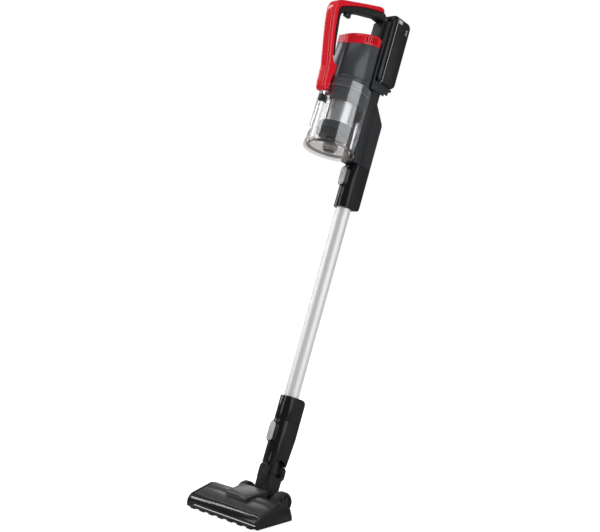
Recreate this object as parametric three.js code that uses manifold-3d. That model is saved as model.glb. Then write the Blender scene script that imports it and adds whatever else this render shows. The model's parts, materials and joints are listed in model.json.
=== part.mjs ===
// Cordless stick vacuum cleaner: hand unit with a cyclone dust bin, metal wand and powered floor head.
// Millimetres, +Z up. The stick leans back on the head's wheel axle; +X is the machine's left side.
import * as THREE from "three";
import { mergeVertices } from "three/addons/utils/BufferGeometryUtils.js";
import Module from "manifold-3d";

const wasm = await Module();
wasm.setup();

// ---- Driving dimensions ------------------------------------------------------------------------
const gap = 0.3; // between touching pieces
const round = 32; // sides of the largest round pieces
const fine = 24; // sides of a middling round piece
const coarse = 16; // sides of a small round piece

// Stick, measured along its own axis from the wheel axle
const stickLean = 21.5; // degrees back from upright
const neckTop = 175; // where the neck meets the wand
const footLength = 55; // lower end fitting of the wand
const wandLength = 619; // from the neck to the hand unit
const headFittingLength = 107; // upper end fitting of the wand

// Section shared by the neck, the wand fittings and the duct
const bodyHalfWidth = 22;
const bodyFront = 23.5;
const bodyRear = 33;
const bodyFrontRadius = 19;
const bodyRearRadius = 8;
const wall = 2.4;
const shellSplit = -8; // front and rear shells meet here

// Tube and the pipes that plug into it
const tubeRadius = 17.5;
const tubeWall = 1.3;
const pipeWall = 1.7;
const pipePlug = 42; // how far each pipe reaches into the tube

// Release buttons
const buttonHalfWidth = 8.5;
const buttonLength = 44;
const buttonRim = 1.6;
const buttonProud = 1.2;
const buttonTravel = 3;
const bossDepth = 8.5; // how far the boss stands out of the shell

// Swivel between the neck halves
const swivelHeight = 62;
const swivelEarRadius = 14;
const swivelRearRadius = 12;
const swivelPinRadius = 4;
const earFront = 24.5; // faces of the lower neck's front ear, ahead of the stick's axis
const earInner = 18.8;
const rearEarInner = 24; // faces of its rear ear, behind the axis
const rearEarBack = 36;
const tongueRadius = 11; // upper neck's tongues, beside the ears
const lowerTop = 50; // top of the lower neck's trunk
const hoseRadius = 11;
const hoseBack = 2;
const openingRadius = 20;
const neckLowerHalfWidth = 23.5;
const neckTaper = 8; // how much thinner the neck is at its lower end
const neckTaperTop = 38; // below the top of the neck, where the taper starts

// Dust bin and motor, on one axis in front of the stick
const ductFront = 32.5; // front face of the duct, ahead of the stick's axis
const binClearance = 2.5; // between the duct and the bin
const binBottomRise = -3; // bin bottom above the duct seam
const binHeight = 162;
const binRadius = 60;
const binWall = 2;
const lidHeight = 13;
const hingeProud = 8; // lid hinge pin ahead of the bin's wall
const hingeRise = 8; // above the bin's bottom
const hingeHalfWidth = 14;
const hingePinRadius = 1.5;
const knuckleRadius = 4;
const ribHalfWidth = 8; // clear rib down the front of the bin
const ribProud = 10.5;
const latchAngle = 120; // lid latch, round from the bin's front towards +X
const collarHeight = 15;
const shroudInset = 7; // shroud's radius under the bin's
const meshRadius = 37;
const motorInset = 10; // motor housing's radius under the bin's
const motorHousingHeight = 102;
const motorRib = 6.7; // how far the front rib stands proud
const motorRibHalfWidth = 12;
const capThickness = 26;
const capSlope = 0.25; // rise to the rear
const ventCount = 6;

// Duct behind the bin
const ductHeight = 180;
const ductKink = 110;
const ductNeckDepth = 38; // how far the rear steps in above the kink
const ductNeckRise = 44.7;

// Battery
const batteryHalfWidth = 30;
const batteryDepth = 66;
const batteryHeight = 172;
const batteryFront = -37;
const batteryCorner = 14; // rounding seen from the side
const batteryRise = 45.7; // battery's bottom above the motor housing's
const cellRadius = 9;
const cellLength = 65;

// Handle, at the stick's own heights
const handleHalfWidth = 14;
const handleTipDrop = 41; // tip below the motor housing
const handleTopRise = 4; // top bar above the battery
const columnHalfWidth = 15.5;
const columnFront = -52;
const triggerTravel = 3;

// Floor head
const headHalfWidth = 122;
const endCapThickness = 9;
const coverWall = 2;
const soleHeight = 3;
const wheelRadius = 24;
const wheelWidth = 20;
const wheelInner = 50;
const headRear = 9; // rear edge of the covers
const wheelClearance = 0.7; // between that edge and the wheels
const axleRadius = 3;
const armInner = 27;
const armWidth = 18;
const rollerRadius = 10;
const bristleRadius = 13;
const rollerBack = -65;
const rollerHeight = 15.2;
const rollerClearance = 1.8;
const stubRadius = 4;
const brushMotorRadius = 12;
const brushMotorLength = 56;
const brushMotorBack = -22;
const brushMotorHeight = 22;
const pulleyRadius = 6;
const pulleyOffset = 104; // where the belt runs, off centre
const beltWidth = 6;
const smallWheelRadius = 5.5;
const smallWheelPlace = 84; // off centre
const smallWheelBack = -28;
const toothCount = 7;

// ---- Sizes worked out from those -----------------------------------------------------------------
const wandTop = neckTop + wandLength; // seam between the wand and the duct
const footTop = neckTop + footLength;
const headFittingBottom = wandTop - headFittingLength;
const tubeBore = tubeRadius - tubeWall;
const pipeRadius = tubeBore - gap;
const neckButton = neckTop - buttonLength / 2 - 8;
const wandButton = wandTop - buttonLength / 2 - 13;
const binForward = ductFront + binClearance + binRadius;
const binBottom = wandTop + binBottomRise;
const binTop = binBottom + binHeight;
const collarBottom = binTop - collarHeight;
const hingeForward = binRadius + hingeProud;
const ribFront = binRadius + ribProud;
const shroudRadius = binRadius - shroudInset;
const motorHousingRadius = binRadius - motorInset;
const lidTop = binBottom + lidHeight;
const hingeHeight = binBottom + hingeRise;
const motorBottom = binTop + gap;
const motorTop = motorBottom + motorHousingHeight;
const capBottom = motorTop + gap;
const ductBottom = wandTop + gap;
const ductTop = ductBottom + ductHeight;
const portHeight = ductBottom + 110;
const batteryRear = batteryFront + batteryDepth;
const batteryBottom = motorBottom + batteryRise;
const batteryTop = batteryBottom + batteryHeight;
const coverHalf = headHalfWidth - endCapThickness - gap;
const axleBack = headRear + wheelClearance + wheelRadius;
const housingFront = -(binForward + motorHousingRadius + motorRib);
const handleTip = motorBottom - handleTipDrop;
const handleTop = batteryTop + handleTopRise;
const dockThickness = 7;
const dockFront = batteryFront - gap - dockThickness;
const columnRear = dockFront - gap;

// ---- Materials -----------------------------------------------------------------------------------
function plastic(color, roughness) {
  return new THREE.MeshStandardMaterial({ color, roughness, metalness: 0 });
}

function metal(color, roughness) {
  return new THREE.MeshStandardMaterial({ color, roughness, metalness: 0.9 });
}

const glossBlack = () => plastic(0x101214, 0.2);
const mattBlack = () => plastic(0x2a2c2e, 0.55);
const mattGrey = () => plastic(0x35383b, 0.5);
const redPlastic = () => plastic(0xd51f35, 0.3);
const paleGrey = () => plastic(0xc9cccf, 0.4);
const silverTube = () => metal(0xd8dadc, 0.35);
const steel = () => metal(0xb0b4b8, 0.3);
const rubber = () => plastic(0x1b1b1b, 0.85);
const foam = () => plastic(0x5f6670, 0.95);

function clearPlastic() {
  const material = plastic(0xdfe3e6, 0.08);
  material.transparent = true;
  material.opacity = 0.3;
  return material;
}

// ---- Shape helpers -------------------------------------------------------------------------------
function solidOf(geometry) {
  const loose = geometry.index ? geometry.toNonIndexed() : geometry.clone();
  const bare = new THREE.BufferGeometry();
  bare.setAttribute("position", loose.getAttribute("position"));
  const merged = mergeVertices(bare, 1e-3);
  const vertProperties = merged.attributes.position.array;
  const triVerts = new Uint32Array(merged.index.array);
  return new wasm.Manifold(new wasm.Mesh({ numProp: 3, vertProperties, triVerts }));
}

function geometryOf(solid) {
  const mesh = solid.getMesh();
  const geometry = new THREE.BufferGeometry();
  geometry.setAttribute("position", new THREE.BufferAttribute(mesh.vertProperties, 3));
  geometry.setIndex(new THREE.BufferAttribute(mesh.triVerts, 1));
  const loose = geometry.toNonIndexed();
  loose.computeVertexNormals();
  return loose;
}

function combine(base, tools, operation) {
  let result = solidOf(base);
  for (const tool of tools) {
    result = result[operation](solidOf(tool));
  }
  return geometryOf(result);
}

const cut = (base, ...tools) => combine(base, tools, "subtract");
const join = (base, ...tools) => combine(base, tools, "add");
const keep = (base, ...tools) => combine(base, tools, "intersect");

// A block between two corners.
function block(x0, x1, y0, y1, z0, z1) {
  const geometry = new THREE.BoxGeometry(x1 - x0, y1 - y0, z1 - z0);
  return geometry.translate((x0 + x1) / 2, (y0 + y1) / 2, (z0 + z1) / 2);
}

// A rectangle with its own corner radius at the low-y side and at the high-y side.
function roundedRect(halfWidth, y0, y1, lowRadius, highRadius = lowRadius) {
  const shape = new THREE.Shape();
  shape.absarc(halfWidth - highRadius, y1 - highRadius, highRadius, 0, Math.PI / 2);
  shape.absarc(-halfWidth + highRadius, y1 - highRadius, highRadius, Math.PI / 2, Math.PI);
  shape.absarc(-halfWidth + lowRadius, y0 + lowRadius, lowRadius, Math.PI, Math.PI * 1.5);
  shape.absarc(halfWidth - lowRadius, y0 + lowRadius, lowRadius, Math.PI * 1.5, Math.PI * 2);
  return shape;
}

function polygon(points) {
  return new THREE.Shape(points.map(([u, v]) => new THREE.Vector2(u, v)));
}

// Extrudes a shape by depth; a bevel rounds both ends and stays inside the outline.
function extrude(shape, depth, bevel = 0, curveSegments = 3) {
  const options = {
    depth: depth - 2 * bevel,
    curveSegments,
    bevelEnabled: bevel > 0,
    bevelThickness: bevel,
    bevelSize: bevel,
    bevelOffset: -bevel,
    bevelSegments: 2,
  };
  return new THREE.ExtrudeGeometry(shape, options).translate(0, 0, bevel);
}

// An outline in x and y, standing from z0 to z1.
function upright(shape, z0, z1, bevel = 0, curveSegments = 3) {
  return extrude(shape, z1 - z0, bevel, curveSegments).translate(0, 0, z0);
}

// A side outline in y and z, reaching from x0 to x1.
function across(shape, x0, x1, bevel = 0, curveSegments = 3) {
  const turn = new THREE.Matrix4().makeBasis(
    new THREE.Vector3(0, 1, 0),
    new THREE.Vector3(0, 0, 1),
    new THREE.Vector3(1, 0, 0),
  );
  return extrude(shape, x1 - x0, bevel, curveSegments).applyMatrix4(turn).translate(x0, 0, 0);
}

// A front outline in x and z, reaching from y0 back to y1.
function frontal(shape, y0, y1, bevel = 0, curveSegments = 3) {
  const turn = new THREE.Matrix4().makeBasis(
    new THREE.Vector3(1, 0, 0),
    new THREE.Vector3(0, 0, 1),
    new THREE.Vector3(0, -1, 0),
  );
  return extrude(shape, y1 - y0, bevel, curveSegments).applyMatrix4(turn).translate(0, y1, 0);
}

// A turned solid round the Z axis. The profile is [radius, height] pairs, starting and ending on
// the axis, or a closed loop clear of it.
function turned(profile, sides = fine) {
  const onAxis = profile[0][0] === 0;
  const loop = onAxis ? profile : [...profile, profile[0]];
  let area = 0;
  profile.forEach(([r, z], i) => {
    const [nextR, nextZ] = profile[(i + 1) % profile.length];
    area += r * nextZ - nextR * z;
  });
  const ordered = area > 0 ? loop : [...loop].reverse();
  const points = ordered.map(([r, z]) => new THREE.Vector2(r, z));
  return new THREE.LatheGeometry(points, sides).rotateX(Math.PI / 2);
}

function ring(outer, inner, z0, z1, sides = fine) {
  return turned([[inner, z0], [outer, z0], [outer, z1], [inner, z1]], sides);
}

function rod(radius, z0, z1, sides = coarse) {
  return turned([[0, z0], [radius, z0], [radius, z1], [0, z1]], sides);
}

const alongX = (geometry) => geometry.rotateY(Math.PI / 2);
const alongY = (geometry) => geometry.rotateX(-Math.PI / 2);

// Shears the upper part of a piece so that its top rises to the rear.
function slopeTop(geometry, axisY, z0, z1) {
  const position = geometry.attributes.position;
  for (let i = 0; i < position.count; i += 1) {
    const share = THREE.MathUtils.clamp((position.getZ(i) - z0) / (z1 - z0), 0, 1);
    const rise = capSlope * (position.getY(i) - axisY) * share;
    position.setZ(i, position.getZ(i) + rise);
  }
  return geometry;
}

// A strip of constant thickness under a row of points.
function strip(points, thickness) {
  const inner = points.map((point, i) => {
    const before = points[Math.max(i - 1, 0)];
    const after = points[Math.min(i + 1, points.length - 1)];
    const length = Math.hypot(after[0] - before[0], after[1] - before[1]);
    const u = point[0] + ((after[1] - before[1]) / length) * thickness;
    const v = point[1] - ((after[0] - before[0]) / length) * thickness;
    return [u, v];
  });
  return polygon([...points, ...inner.reverse()]);
}

// ---- Groups --------------------------------------------------------------------------------------
const vacuum = new THREE.Group();
const head = new THREE.Group();
const stick = new THREE.Group();
stick.position.set(0, axleBack, wheelRadius);
stick.rotation.x = -THREE.MathUtils.degToRad(stickLean);
vacuum.add(head, stick);

function add(group, name, geometry, material) {
  const mesh = new THREE.Mesh(geometry, material);
  mesh.name = name;
  group.add(mesh);
}

// ---- Shells of the neck, the wand fittings and the duct ------------------------------------------
function bodyOutline(inset = 0, front = bodyFront, frontRadius = bodyFrontRadius) {
  return roundedRect(
    bodyHalfWidth - inset,
    -front + inset,
    bodyRear - inset,
    frontRadius - inset,
    Math.max(bodyRearRadius - inset, 1),
  );
}

function frontHalf(geometry, z0, z1) {
  const reach = 200;
  return keep(geometry, block(-reach, reach, -reach, shellSplit - gap / 2, z0 - 50, z1 + 50));
}

function rearHalf(geometry, z0, z1) {
  const reach = 200;
  return keep(geometry, block(-reach, reach, shellSplit + gap / 2, reach, z0 - 50, z1 + 50));
}

function buttonOutline(halfWidth, length) {
  const half = length / 2;
  return roundedRect(halfWidth, -half, half, halfWidth - 0.5);
}

// The raised frame that a release button sits in, at a height on the front shell.
function addBoss(shell, height) {
  const face = -bodyFront - bossDepth;
  const margin = gap + buttonRim;
  const outer = buttonOutline(buttonHalfWidth + margin, buttonLength + 2 * margin);
  const pocket = buttonOutline(buttonHalfWidth + gap, buttonLength + 2 * gap);
  const boss = frontal(outer, face, -bodyFront + wall, 0, 4).translate(0, 0, height);
  const pocketDepth = face + bossDepth - 0.5;
  const hole = frontal(pocket, face - 5, pocketDepth, 0, 4).translate(0, 0, height);
  return cut(join(shell, boss), hole);
}

function releaseButton(height) {
  const face = -bodyFront - bossDepth - buttonProud;
  const back = -bodyFront - 0.5 - gap - buttonTravel;
  const outline = buttonOutline(buttonHalfWidth, buttonLength);
  return frontal(outline, face, back, 1.2, 4).translate(0, 0, height);
}

// ---- Floor head ----------------------------------------------------------------------------------
// Side outline of the head from the front lip over the top to the rear edge.
const lip = [-89, 11];
const windowTop = [-75, 30];
const seam = [-38.5, 39];
const crown = [-20, 43.5];
const shoulder = [-6, 40.5];
const rearSlope = [4, 30];
const rearEdge = [headRear, 12];

function windowArc(steps) {
  const curve = new THREE.QuadraticBezierCurve(
    new THREE.Vector2(...lip),
    new THREE.Vector2(-87, 24),
    new THREE.Vector2(...windowTop),
  );
  return curve.getPoints(steps).map((point) => [point.x, point.y]);
}

function addCovers() {
  const clearOfEnds = coverHalf;
  const windowGeometry = across(strip(windowArc(6), coverWall), -clearOfEnds, clearOfEnds);
  add(head, "front_window", windowGeometry, clearPlastic());
  const frontCover = strip([[windowTop[0] + 0.9, windowTop[1] + 0.3], seam], coverWall);
  add(head, "top_cover_front", across(frontCover, -clearOfEnds, clearOfEnds), mattGrey());
  const rearStart = [seam[0] + 0.5, seam[1] + 0.12];
  const rearCover = strip([rearStart, crown, shoulder, rearSlope, rearEdge], coverWall);
  add(head, "top_cover_rear", across(rearCover, -clearOfEnds, clearOfEnds), mattGrey());
}

function headOutline() {
  const rearBottom = [rearEdge[0], soleHeight];
  const frontBottom = [lip[0], soleHeight];
  return polygon([frontBottom, ...windowArc(6), seam, crown, shoulder, rearSlope, rearEdge, rearBottom]);
}

function addEndCap(name, side) {
  const inner = headHalfWidth - endCapThickness;
  const low = side > 0 ? inner : -headHalfWidth;
  const cap = across(headOutline(), low, low + endCapThickness, 1.5);
  const depth = 6;
  const pocket = alongX(rod(stubRadius + gap, -depth, depth));
  pocket.translate(side * inner, rollerBack, rollerHeight);
  add(head, name, cut(cap, pocket), mattBlack());
}

// Sole plate with the roller chamber's rear wall, the axle arms and the small wheels' pockets.
function addBase() {
  const innerArc = bristleRadius + rollerClearance;
  const outerArc = innerArc + coverWall;
  const floorAngle = Math.asin((soleHeight - rollerHeight) / innerArc);
  const outerFloorAngle = Math.asin((soleHeight + 2.5 - rollerHeight) / outerArc);
  const topAngle = THREE.MathUtils.degToRad(46);
  const shape = new THREE.Shape();
  const back = rearEdge[0] - gap;
  shape.moveTo(back, soleHeight);
  shape.lineTo(back, rearEdge[1] - 0.6);
  shape.lineTo(back - 2.5, rearEdge[1] - 0.6);
  shape.lineTo(back - 2.5, soleHeight + 2.5);
  shape.absarc(rollerBack, rollerHeight, outerArc, outerFloorAngle, topAngle, false);
  shape.absarc(rollerBack, rollerHeight, innerArc, topAngle, floorAngle, true);
  let base = across(shape, -coverHalf, coverHalf, 0, 6);
  base = cut(base, block(-22, 22, rollerBack + 8, rollerBack + 30, rollerHeight - 6, rollerHeight + 9));
  const beltHalf = beltWidth / 2 + 1;
  const beltLow = soleHeight + 2.5;
  base = cut(base, block(-pulleyOffset - beltHalf, -pulleyOffset + beltHalf, rollerBack, 0, beltLow, 60));
  for (const side of [-1, 1]) {
    const low = side > 0 ? armInner : -armInner - armWidth;
    base = join(base, axleArm(low));
    const x = side * smallWheelPlace;
    const wheelRoom = block(x - 6, x + 6, smallWheelBack - 8, smallWheelBack + 8, 0, soleHeight + 4);
    base = cut(base, wheelRoom);
  }
  const axleHole = alongX(rod(axleRadius + gap, -100, 100)).translate(0, axleBack, wheelRadius);
  add(head, "head_base", cut(base, axleHole), mattBlack());
}

function axleArm(x) {
  const shape = new THREE.Shape();
  const eye = 9;
  shape.moveTo(rearEdge[0] - 6, soleHeight);
  shape.lineTo(rearEdge[0] + 4, soleHeight);
  shape.absarc(axleBack, wheelRadius, eye, -0.9, 2.3, false);
  shape.lineTo(rearEdge[0] + 0.2, rearEdge[1] - 0.6);
  shape.lineTo(rearEdge[0] - 6, rearEdge[1] - 0.6);
  return across(shape, x, x + armWidth);
}

function addBumper() {
  const shape = polygon([
    [lip[0] - 3, 4],
    [lip[0] + 3, 4],
    [lip[0] + 3, lip[1] - 3.5],
    [lip[0] - 1, lip[1] - gap],
    [lip[0] - 3, lip[1] - 1.5],
  ]);
  let bumper = across(shape, -coverHalf, coverHalf);
  const pitch = (2 * coverHalf) / toothCount;
  for (let i = 0; i < toothCount; i += 1) {
    const middle = -coverHalf + pitch * (i + 0.5);
    bumper = join(bumper, block(middle - pitch / 4, middle + pitch / 4, lip[0] - 3, lip[0] + 2, 1.5, 5));
  }
  add(head, "bumper_strip", bumper, mattBlack());
}

// The raised cover over the air passage, with a clearance over the covers below it.
function addHood() {
  const lift = 0.4;
  const side = polygon([
    [-50, 36.6 + lift],
    [-46.5, 47.5],
    [7, 52.5],
    [10, 48],
    [10.5, 30],
    [rearSlope[0] + 0.8, rearSlope[1] + lift],
    [shoulder[0] + 0.3, shoulder[1] + lift],
    [crown[0], crown[1] + lift],
    [seam[0], seam[1] + lift],
  ]);
  const plan = polygon([[-33, -60], [33, -60], [41, 20], [-41, 20]]);
  const hood = keep(across(side, -45, 45), upright(plan, 20, 80));
  add(head, "hood", hood, glossBlack());
}

// Roller: a core with stub axles, and bristle strips wound along it.
function addRoller() {
  const half = coverHalf - 1;
  const stubEnd = headHalfWidth - endCapThickness + 5;
  const core = turned([
    [0, -stubEnd],
    [stubRadius, -stubEnd],
    [stubRadius, -half],
    [rollerRadius, -half],
    [rollerRadius, half],
    [stubRadius, half],
    [stubRadius, stubEnd],
    [0, stubEnd],
  ], coarse);
  let roller = alongX(core);
  const strips = 4;
  const bristleHalf = pulleyOffset - beltWidth / 2 - 2;
  for (let i = 0; i < strips; i += 1) {
    roller = join(roller, bristleStrip(bristleHalf, (i * Math.PI * 2) / strips));
  }
  add(head, "brush_roller", roller.translate(0, rollerBack, rollerHeight), plastic(0x8a2630, 0.8));
}

// One bristle strip, winding a third of a turn from end to end.
function bristleStrip(half, start) {
  const stripHalf = 1.6;
  const steps = 10;
  const height = bristleRadius - rollerRadius + 2;
  const geometry = new THREE.BoxGeometry(2 * half, 2 * stripHalf, height, steps, 1, 1);
  geometry.translate(0, 0, (bristleRadius + rollerRadius - 2) / 2);
  const position = geometry.attributes.position;
  for (let i = 0; i < position.count; i += 1) {
    const angle = start + (position.getX(i) / half) * (Math.PI / 3);
    const y = position.getY(i);
    const z = position.getZ(i);
    position.setY(i, y * Math.cos(angle) - z * Math.sin(angle));
    position.setZ(i, y * Math.sin(angle) + z * Math.cos(angle));
  }
  return geometry;
}

// The brush motor, its pulley and the belt to the roller's end.
function addBrushDrive() {
  const motorEnd = -pulleyOffset + beltWidth;
  const motor = alongX(rod(brushMotorRadius, motorEnd, motorEnd + brushMotorLength));
  add(head, "brush_motor", motor.translate(0, brushMotorBack, brushMotorHeight), steel());
  const pulleyHalf = beltWidth / 2;
  const pulley = alongX(rod(pulleyRadius, -pulleyOffset - pulleyHalf, -pulleyOffset + pulleyHalf + 1.5));
  add(head, "motor_pulley", pulley.translate(0, brushMotorBack, brushMotorHeight), steel());
  const outer = beltLoop(1.6 + gap);
  outer.holes.push(beltLoop(gap));
  const beltHalf = beltWidth / 2 - 0.5;
  const belt = across(outer, -pulleyOffset - beltHalf, -pulleyOffset + beltHalf, 0, 12);
  add(head, "drive_belt", belt, rubber());
}

// The belt's path round both pulleys, at a distance outside them.
function beltLoop(distance) {
  const dy = brushMotorBack - rollerBack;
  const dz = brushMotorHeight - rollerHeight;
  const along = Math.atan2(dz, dy);
  const spread = Math.acos((rollerRadius - pulleyRadius) / Math.hypot(dy, dz));
  const path = new THREE.Shape();
  const low = along - spread;
  const high = along + spread;
  path.absarc(rollerBack, rollerHeight, rollerRadius + distance, high, low + Math.PI * 2, false);
  path.absarc(brushMotorBack, brushMotorHeight, pulleyRadius + distance, low, high, false);
  return path;
}

function addWheels() {
  const bore = axleRadius + gap;
  for (const side of [-1, 1]) {
    const name = side > 0 ? "wheel_left" : "wheel_right";
    const near = wheelInner;
    const far = wheelInner + wheelWidth;
    const edge = 3;
    const wheel = turned([
      [bore, near],
      [wheelRadius - edge, near],
      [wheelRadius, near + edge],
      [wheelRadius, far - edge],
      [wheelRadius - edge, far],
      [wheelRadius - 8, far],
      [wheelRadius - 9, far - 3],
      [bore + 4, far - 3],
      [bore + 3, far],
      [bore, far],
    ], fine);
    alongX(wheel);
    if (side < 0) wheel.rotateZ(Math.PI);
    add(head, name, wheel.translate(0, axleBack, wheelRadius), mattBlack());
    const x = side * smallWheelPlace;
    const small = alongX(rod(smallWheelRadius, -4, 4, 18)).translate(x, smallWheelBack, smallWheelRadius);
    add(head, side > 0 ? "small_wheel_left" : "small_wheel_right", small, mattGrey());
  }
  const half = wheelInner + wheelWidth + 1.5;
  const axle = alongX(rod(axleRadius, -half, half)).translate(0, axleBack, wheelRadius);
  add(head, "wheel_axle", axle, steel());
}

addCovers();
addEndCap("end_cap_left", 1);
addEndCap("end_cap_right", -1);
addBase();
addBumper();
addHood();
addRoller();
addBrushDrive();
addWheels();

// ---- Neck: the lower half pitches on the axle, the upper half rolls on the swivel ----------------
function addNeckLower() {
  const hubRadius = 19;
  const hub = alongX(rod(hubRadius, -neckLowerHalfWidth, neckLowerHalfWidth, fine));
  const trunk = upright(roundedRect(neckLowerHalfWidth, -hubRadius, earFront - 1, 9), 2, lowerTop, 0, 4);
  const disc = (radius, y0, y1) => alongY(rod(radius, y0, y1, 28)).translate(0, 0, swivelHeight);
  const frontEar = disc(swivelEarRadius, -earFront, -earInner);
  const frontRoot = sideWedge(-swivelEarRadius, swivelEarRadius, [
    [-earFront, swivelHeight],
    [-earFront, lowerTop - 8],
    [-hubRadius, lowerTop - 26],
    [-hubRadius + 3, lowerTop - 8],
    [-earInner, lowerTop - 2],
    [-earInner, swivelHeight],
  ]);
  const rearEar = disc(swivelRearRadius, rearEarInner, rearEarBack);
  const rearRoot = sideWedge(-swivelRearRadius, swivelRearRadius, [
    [rearEarInner, swivelHeight],
    [rearEarInner, lowerTop],
    [rearEarInner - 3, lowerTop - 4],
    [rearEarInner - 3, lowerTop - 20],
    [rearEarBack, lowerTop - 2],
    [rearEarBack, swivelHeight],
  ]);
  let neck = join(hub, trunk, frontEar, frontRoot, rearEar, rearRoot);
  const sideDip = alongX(rod(openingRadius, -100, 100, fine)).translate(0, hoseBack, swivelHeight + 5);
  const passage = rod(hoseRadius + 1, hubRadius - 8, 200).translate(0, hoseBack, 0);
  const axleHole = alongX(rod(axleRadius + gap, -100, 100));
  const pinHole = alongY(rod(swivelPinRadius + gap, -100, 100)).translate(0, 0, swivelHeight);
  neck = cut(neck, sideDip, passage, axleHole, pinHole);
  add(stick, "neck_lower", neck, mattBlack());
}

function sideWedge(x0, x1, points) {
  return across(polygon(points), x0, x1);
}

function addSwivelPins() {
  const front = alongY(rod(swivelPinRadius, -earFront + 0.5, -earInner + 4.6));
  add(stick, "swivel_pin_front", front.translate(0, 0, swivelHeight), steel());
  const rear = alongY(rod(swivelPinRadius, rearEarInner - 5, rearEarBack - 0.5));
  add(stick, "swivel_pin_rear", rear.translate(0, 0, swivelHeight), steel());
}

// A ribbed hose between the neck halves, inside the swivel.
function addHose() {
  const bottom = swivelHeight - 22;
  const top = swivelHeight + 22;
  const ribs = 7;
  const pitch = (top - bottom) / ribs;
  const bore = hoseRadius - 3;
  const profile = [[bore, bottom]];
  for (let i = 0; i < ribs; i += 1) {
    const z = bottom + pitch * i;
    profile.push([hoseRadius - 1.4, z], [hoseRadius, z + pitch * 0.35], [hoseRadius, z + pitch * 0.65]);
  }
  profile.push([hoseRadius - 1.4, top], [bore, top]);
  add(stick, "neck_hose", turned(profile, coarse).translate(0, hoseBack, 0), rubber());
}

// How much of its full depth the neck's rear keeps at a height: it thins towards its lower end.
function neckDepthShare(height) {
  const from = swivelHeight;
  const to = neckTop - neckTaperTop;
  const low = THREE.MathUtils.clamp((to - height) / (to - from), 0, 1);
  return 1 - (low * neckTaper) / bodyRear;
}

// A neck outline from z0 to z1 with one break in its height, where the taper starts.
function neckLength(inset, z0, z1) {
  const options = { depth: 2, steps: 2, curveSegments: 4, bevelEnabled: false };
  const geometry = new THREE.ExtrudeGeometry(bodyOutline(inset), options);
  const heights = [z0, neckTop - neckTaperTop, z1];
  const position = geometry.attributes.position;
  for (let i = 0; i < position.count; i += 1) {
    const z = heights[Math.round(position.getZ(i))];
    const y = position.getY(i);
    position.setZ(i, z);
    if (y > 0) position.setY(i, y * neckDepthShare(z));
  }
  return geometry;
}

function addNeckUpper() {
  const bottom = swivelHeight + 12;
  const shell = cut(neckLength(0, bottom, neckTop), neckLength(wall, bottom - 1, neckTop + 1));
  const opening = alongX(rod(openingRadius, -100, 100, fine)).translate(0, hoseBack, swivelHeight + 5);
  const earRoom = (radius, y0, y1) => alongY(rod(radius + 0.6, y0, y1, 28)).translate(0, 0, swivelHeight);
  const frontRoom = earRoom(swivelEarRadius, -100, -earInner + 0.6);
  const rearRoom = earRoom(swivelRearRadius, rearEarInner - 2, 100);
  const tongueTop = swivelHeight + 36;
  const tongue = (y0, y1) => {
    const disc = alongY(rod(tongueRadius, y0, y1)).translate(0, 0, swivelHeight);
    return join(disc, block(-tongueRadius, tongueRadius, y0, y1, swivelHeight, tongueTop));
  };
  const pinHole = alongY(rod(swivelPinRadius + gap, -100, 100)).translate(0, 0, swivelHeight);
  let front = frontHalf(cut(shell, opening, frontRoom), bottom, neckTop);
  const tongueBack = -earInner + 4.6;
  const bridgeBottom = swivelHeight + 16;
  const bridge = (y0, y1) => block(-tongueRadius, tongueRadius, y0, y1, bridgeBottom, tongueTop);
  front = join(front, tongue(-earInner + 0.6, tongueBack), bridge(-bodyFront + 1, tongueBack));
  front = cut(front, pinHole);
  front = addBoss(front, neckButton);
  add(stick, "neck_front_shell", front, glossBlack());
  let rear = rearHalf(cut(shell, opening, rearRoom), bottom, neckTop);
  const bridgeBack = (bodyRear - wall / 2) * neckDepthShare(bridgeBottom);
  rear = join(rear, tongue(rearEarInner - 5, rearEarInner - 1), bridge(rearEarInner - 5, bridgeBack));
  rear = cut(rear, pinHole);
  add(stick, "neck_rear_shell", rear, mattBlack());
  add(stick, "neck_release", releaseButton(neckButton), paleGrey());
}

function addNeckPipe() {
  const bottom = swivelHeight + 40;
  const pipe = ring(pipeRadius, pipeRadius - pipeWall, bottom, neckTop + pipePlug, coarse);
  add(stick, "neck_pipe", pipe, mattGrey());
}

addNeckLower();
addSwivelPins();
addHose();
addNeckUpper();
addNeckPipe();

// ---- Wand: a metal tube with an end fitting at each end ------------------------------------------
// Rounds the rear corner of a fitting at its closed end.
function roundRearCorner(geometry, closedEnd, openEnd) {
  const radius = 19;
  const inward = Math.sign(openEnd - closedEnd);
  const far = 60;
  const shape = new THREE.Shape();
  shape.moveTo(-far, closedEnd);
  shape.lineTo(bodyRear - radius, closedEnd);
  shape.quadraticCurveTo(bodyRear, closedEnd, bodyRear, closedEnd + inward * radius * 1.15);
  shape.lineTo(bodyRear, openEnd + inward * 5);
  shape.lineTo(-far, openEnd + inward * 5);
  return keep(geometry, across(shape, -far, far, 0, 6));
}

function fitting(closedEnd, openEnd) {
  const low = Math.min(closedEnd, openEnd);
  const high = Math.max(closedEnd, openEnd);
  const outer = roundRearCorner(upright(bodyOutline(), low, high), closedEnd, openEnd);
  const inward = Math.sign(openEnd - closedEnd);
  const innerEnd = closedEnd + inward * wall;
  const farEnd = openEnd + inward;
  const cavityLow = Math.min(innerEnd, farEnd);
  const cavityHigh = Math.max(innerEnd, farEnd);
  const cavity = upright(bodyOutline(wall), cavityLow, cavityHigh);
  const shaped = roundRearCorner(cavity.translate(0, -wall, 0), innerEnd, farEnd).translate(0, wall, 0);
  const inside = keep(shaped, upright(bodyOutline(wall), cavityLow, cavityHigh));
  return cut(outer, inside, rod(tubeRadius + gap, low - 1, high + 1, fine));
}

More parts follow.
